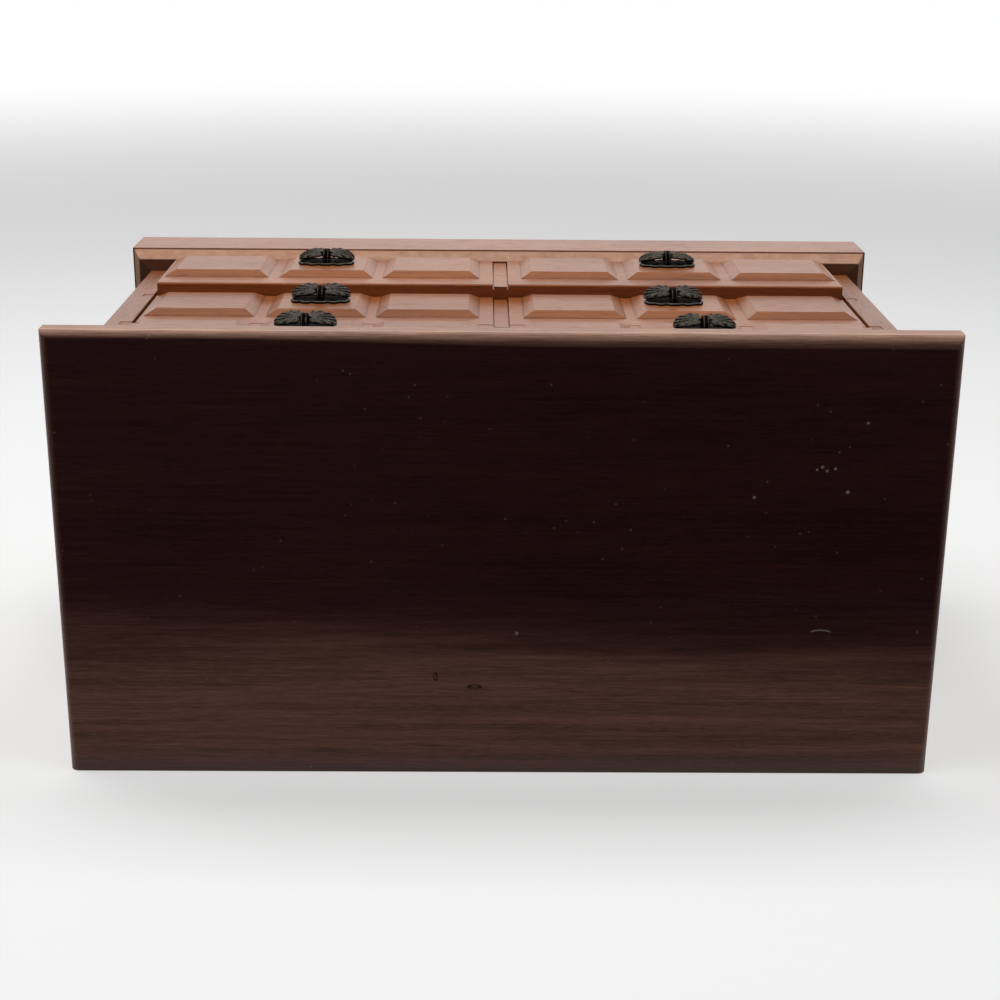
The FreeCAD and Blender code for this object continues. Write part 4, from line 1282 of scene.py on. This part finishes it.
def bevelledMirror():
    low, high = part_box("mirror")
    points = []
    levels = ((0.0, high.z), (0.0, low.z + mirrorLook["drop"]), (mirrorLook["bevel"], low.z))
    for inset, z in levels:
        points += [(low.x + inset, low.y + inset, z), (high.x - inset, low.y + inset, z),
                   (high.x - inset, high.y - inset, z), (low.x + inset, high.y - inset, z)]
    points, faces, _ = tubeMesh([points[:4], points[4:8], points[8:]])
    piece = newPiece("mirror_glass", points, faces, bodyOf("mirror"), "mirror", mirrorGlass)
    piece.data.polygons.foreach_set("use_smooth", [False] * len(piece.data.polygons))
    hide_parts("mirror")


surroundLook = {
    "lap": 1.6 * mm,                      # over the glass
    "edge": 4.0 * mm,
    "wave": 0.35 * mm,
    "steps": (90, 16),
    "sideSteps": (24, 50),
    "fill": 0.7,
}


def lidSurround():
    # four padded strips that hold the glass
    look = surroundLook
    glassLow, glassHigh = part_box("mirror")
    low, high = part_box("lid_lining")
    lap = Vector((look["lap"], look["lap"], 0))
    innerLow = glassLow + lap
    innerHigh = glassHigh - lap
    fall = (0, 0, low.z - high.z)

    def overGlass(p):
        inside = glassLow.x < p.x < glassHigh.x and glassLow.y < p.y < glassHigh.y
        return glassHigh.z - glassLow.z if inside else 0.0

    strips = (
        ((low.x, low.y), (high.x, innerLow.y), "steps"),
        ((low.x, innerHigh.y), (high.x, high.y), "steps"),
        ((low.x, innerLow.y), (innerLow.x, innerHigh.y), "sideSteps"),
        ((innerHigh.x, innerLow.y), (high.x, innerHigh.y), "sideSteps"),
    )
    parts = []
    for k, ((x0, y0), (x1, y1), steps) in enumerate(strips):
        parts.append(padPart((x0, y0, high.z), (x1 - x0, 0, 0), (0, y1 - y0, 0), fall, look[steps],
                             look["edge"], look["wave"], overGlass, 12.0 + k))
    velvetPiece("lid_velvet", parts, "lid_lining")


drawerLining("lower_drawer")
drawerLining("middle_drawer")
trayLinings()
ringRolls()
bevelledMirror()
lidSurround()
print("linings made")


# metal parts that keep their shape

metals = {
    "hinge_case_leaves": brass, "hinge_lid_leaves": brass, "hinge_pins": brass,
    "hinge_case_screws": brass, "hinge_lid_screws": brass,
    "cylinder": brass, "governor_wheel": brass, "spring_arbor": steel, "spring_housing": steel,
    "mainspring": blued, "governor_frame": steel, "governor_fly": steel, "stop_rod": steel,
    "comb": steel, "comb_screws": blued, "movement_screws": steel, "movement_bedplate": zinc,
}
for node, metal in metals.items():
    mesh = frame["nodes"][node].data
    mesh.materials.clear()
    mesh.materials.append(metal)
keyLook = {"arris": 0.3 * mm}
softened("winding_key", brass, keyLook["arris"])
print("metals dressed")


# floor, light and camera

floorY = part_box("case_back")[1].y + 0.2 * mm      # the box lies on its back

floorLook = {
    "tone": (0.84, 0.845, 0.84, 1.0),
    "glow": 0.20,
    "middle": 0.09,                       # height of the box's middle
    "far": (0.7, 2.4),                    # over this distance the floor turns white
    "besideX": (0.200, 0.152),            # beside the lid a painted light lifts the box's shadow on the floor
    "besideZ": (0.06, 0.14, 0.178, 0.205),
    # strength of the painted light beside the lid
    "lift": 0.3,
    "half": 6.0,
    "closed": (1.0 * mm, 0.2 * mm),       # over this much of the lid's swing the floor and card go
}
cardLook = {"from": 0.188, "to": 3.0, "half": 2.0, "above": 1.0 * mm}


def stagePlane(name, corners, finish):
    mesh = bpy.data.meshes.new(name)
    mesh.from_pydata(corners, [], [(0, 1, 2, 3)])
    mesh.materials.append(finish)
    plane = bpy.data.objects.new(name, mesh)
    bpy.context.scene.collection.objects.link(plane)
    return plane


def lidClosed(finish):
    # 1 while the lid is at rest: the floor and the card then give way, as an opened lid reaches past them
    here = finish.add("ShaderNodeTexCoord", {}, {}, "Object")
    inLid = finish.add("ShaderNodeTexCoord", {"object": frame["bodies"]["lid"]}, {}, "Object")
    swung = finish.add("ShaderNodeVectorMath", {"operation": "DISTANCE"}, {0: here, 1: inLid}, "Value")
    return finish.step(swung, *floorLook["closed"])


def glow(finish, strength, level=1.0):
    return finish.add("ShaderNodeEmission", {}, {"Color": (level, level, level, 1), "Strength": strength})


def blend(finish, factor, first, second):
    return finish.add("ShaderNodeMixShader", {}, {0: factor, 1: first, 2: second})


def floorFinish():
    # white far off, and see-through from behind and to the light on its way to the box
    look = floorLook
    finish = Finish("paleFloor")
    rays = finish.add("ShaderNodeLightPath")
    seen, glossy, through = finish.others(rays, ("Is Camera Ray", "Is Glossy Ray", "Is Transmission Ray"))
    seen = seen.most(glossy).most(through)
    behind = finish.add("ShaderNodeNewGeometry", {}, {}, "Backfacing")
    matt = finish.add("ShaderNodeBsdfDiffuse", {}, {"Color": look["tone"]})
    matt = finish.add("ShaderNodeAddShader", {}, {0: matt, 1: glow(finish, look["glow"])})
    x, _, z = finish.axes()
    up = z - look["middle"]
    far = (x * x + up * up) ** 0.5
    # painted light that lifts the box's shadow on the floor beside the lid
    paintedLightBeside = finish.step(x.size(), *look["besideX"]) * finish.band(z, *look["besideZ"])
    white = finish.step(far, *look["far"]).most(paintedLightBeside * look["lift"])
    ahead = blend(finish, white, matt, glow(finish, 1.0))
    clear = finish.add("ShaderNodeBsdfTransparent")
    whole = blend(finish, seen * (1 - behind) * lidClosed(finish), clear, ahead)
    finish.add("ShaderNodeOutputMaterial", {}, {"Surface": whole})
    return finish.material


def cardFinish():
    finish = Finish("blackCard")
    clear = finish.add("ShaderNodeBsdfTransparent")
    whole = blend(finish, lidClosed(finish), clear, glow(finish, 1.0, 0.0))
    finish.add("ShaderNodeOutputMaterial", {}, {"Surface": whole})
    return finish.material


def layFloor():
    # the pale floor, and a black card over it that only reflections show
    half = floorLook["half"]
    stagePlane("floor", [(-half, floorY, -half), (half, floorY, -half), (half, floorY, half),
                         (-half, floorY, half)], floorFinish())
    half, y = cardLook["half"], floorY - cardLook["above"]
    card = stagePlane("flag", [(-half, y, cardLook["from"]), (half, y, cardLook["from"]),
                               (half, y, cardLook["to"]), (-half, y, cardLook["to"])], cardFinish())
    card.visible_camera = False
    card.visible_diffuse = False
    card.visible_shadow = False


# what reflections see, by the height of the ray, and the plain light that reaches dull surfaces
worldLook = {
    "ambient": 0.13,
    "leastShine": 0.012,
    "backdrop": (-0.35, -0.88),
    "backdropShine": 0.78,
    "window": (0.10, 0.24, 0.38, 0.52),
    "windowShine": 1.3,
    "above": (0.35, -0.15),
    "aboveShine": 0.28,
}


def setWorld():
    look = worldLook
    world = bpy.data.worlds.new("studio")
    bpy.context.scene.world = world
    world.use_nodes = True
    finish = Finish("studio", world.node_tree)
    rays = finish.add("ShaderNodeLightPath")
    camera, glossy, through = finish.others(rays, ("Is Camera Ray", "Is Glossy Ray", "Is Transmission Ray"))
    shiny = glossy.most(through)
    way = finish.add("ShaderNodeTexCoord", {}, {}, "Generated")
    upright = finish.add("ShaderNodeSeparateXYZ", {}, {0: way}, 2)
    shine = (finish.step(upright, *look["backdrop"]) * look["backdropShine"]
             + finish.band(upright, *look["window"]) * look["windowShine"]
             + finish.step(upright, *look["above"]) * look["aboveShine"] + look["leastShine"])
    strength = camera + (1 - camera) * (shiny * shine + (1 - shiny) * look["ambient"])
    back = finish.add("ShaderNodeBackground", {}, {"Color": (1, 1, 1, 1), "Strength": strength})
    finish.add("ShaderNodeOutputWorld", {}, {"Surface": back})


lightLooks = {
    "frontLight": {"spot": (0.12, -1.28, 0.05), "target": (0, 0, 0.10), "size": (1.7, 0.95), "power": 17.5,
                   "glossy": False},
    "leftLight": {"spot": (-1.0, -0.3, -0.1), "target": (0, 0, 0.08), "size": (0.7, 0.7), "power": 0.7,
                  "glossy": False},
    "rightLight": {"spot": (1.0, -0.3, -0.1), "target": (0, 0, 0.08), "size": (0.7, 0.7), "power": 0.7,
                   "glossy": False},
    "backLight": {"spot": (0.0, 1.1, 0.0), "target": (0, 0, 0.08), "size": (0.9, 0.7), "power": 4.0,
                  "glossy": True},
}


def softLight(name, look):
    light = bpy.data.lights.new(name, "AREA")
    light.shape = "RECTANGLE"
    light.size, light.size_y = look["size"]
    light.energy = look["power"]
    lamp = bpy.data.objects.new(name, light)
    bpy.context.scene.collection.objects.link(lamp)
    lamp.location = look["spot"]
    lamp.rotation_euler = (Vector(look["target"]) - lamp.location).to_track_quat("-Z", "Y").to_euler()
    lamp.visible_camera = False
    lamp.visible_glossy = look["glossy"]


cameraLook = {
    "lens": 63.886,
    "sensor": 36,
    "spot": (6.507 * mm, -215.5 * mm, 746.3 * mm),
    "pitch": 18.908,                      # degrees
    "yaw": 0.599,
    "roll": 0.497,
}


def setCamera():
    # the box lies on its back in the photograph, so the view comes from above its lid
    look = cameraLook
    pitch, yaw, roll = (math.radians(look[k]) for k in ("pitch", "yaw", "roll"))
    ahead = Vector((-math.sin(yaw) * math.cos(pitch), math.sin(pitch), -math.cos(yaw) * math.cos(pitch)))
    right = Vector((-math.cos(yaw), 0, math.sin(yaw)))
    up = right.cross(ahead)
    turnedRight = right * math.cos(roll) + up * math.sin(roll)
    turnedUp = up * math.cos(roll) - right * math.sin(roll)
    data = bpy.data.cameras.new("camera")
    data.lens = look["lens"]
    data.sensor_width = look["sensor"]
    data.sensor_fit = "HORIZONTAL"
    data.clip_start = 10 * mm
    camera = bpy.data.objects.new("camera", data)
    bpy.context.scene.collection.objects.link(camera)
    turn = Matrix((turnedRight, turnedUp, -ahead)).transposed().to_4x4()
    camera.matrix_world = Matrix.Translation(look["spot"]) @ turn
    bpy.context.scene.camera = camera


layFloor()
setWorld()
for name, look in lightLooks.items():
    softLight(name, look)
setCamera()
bpy.context.scene.view_settings.view_transform = "Standard"
print("studio set")
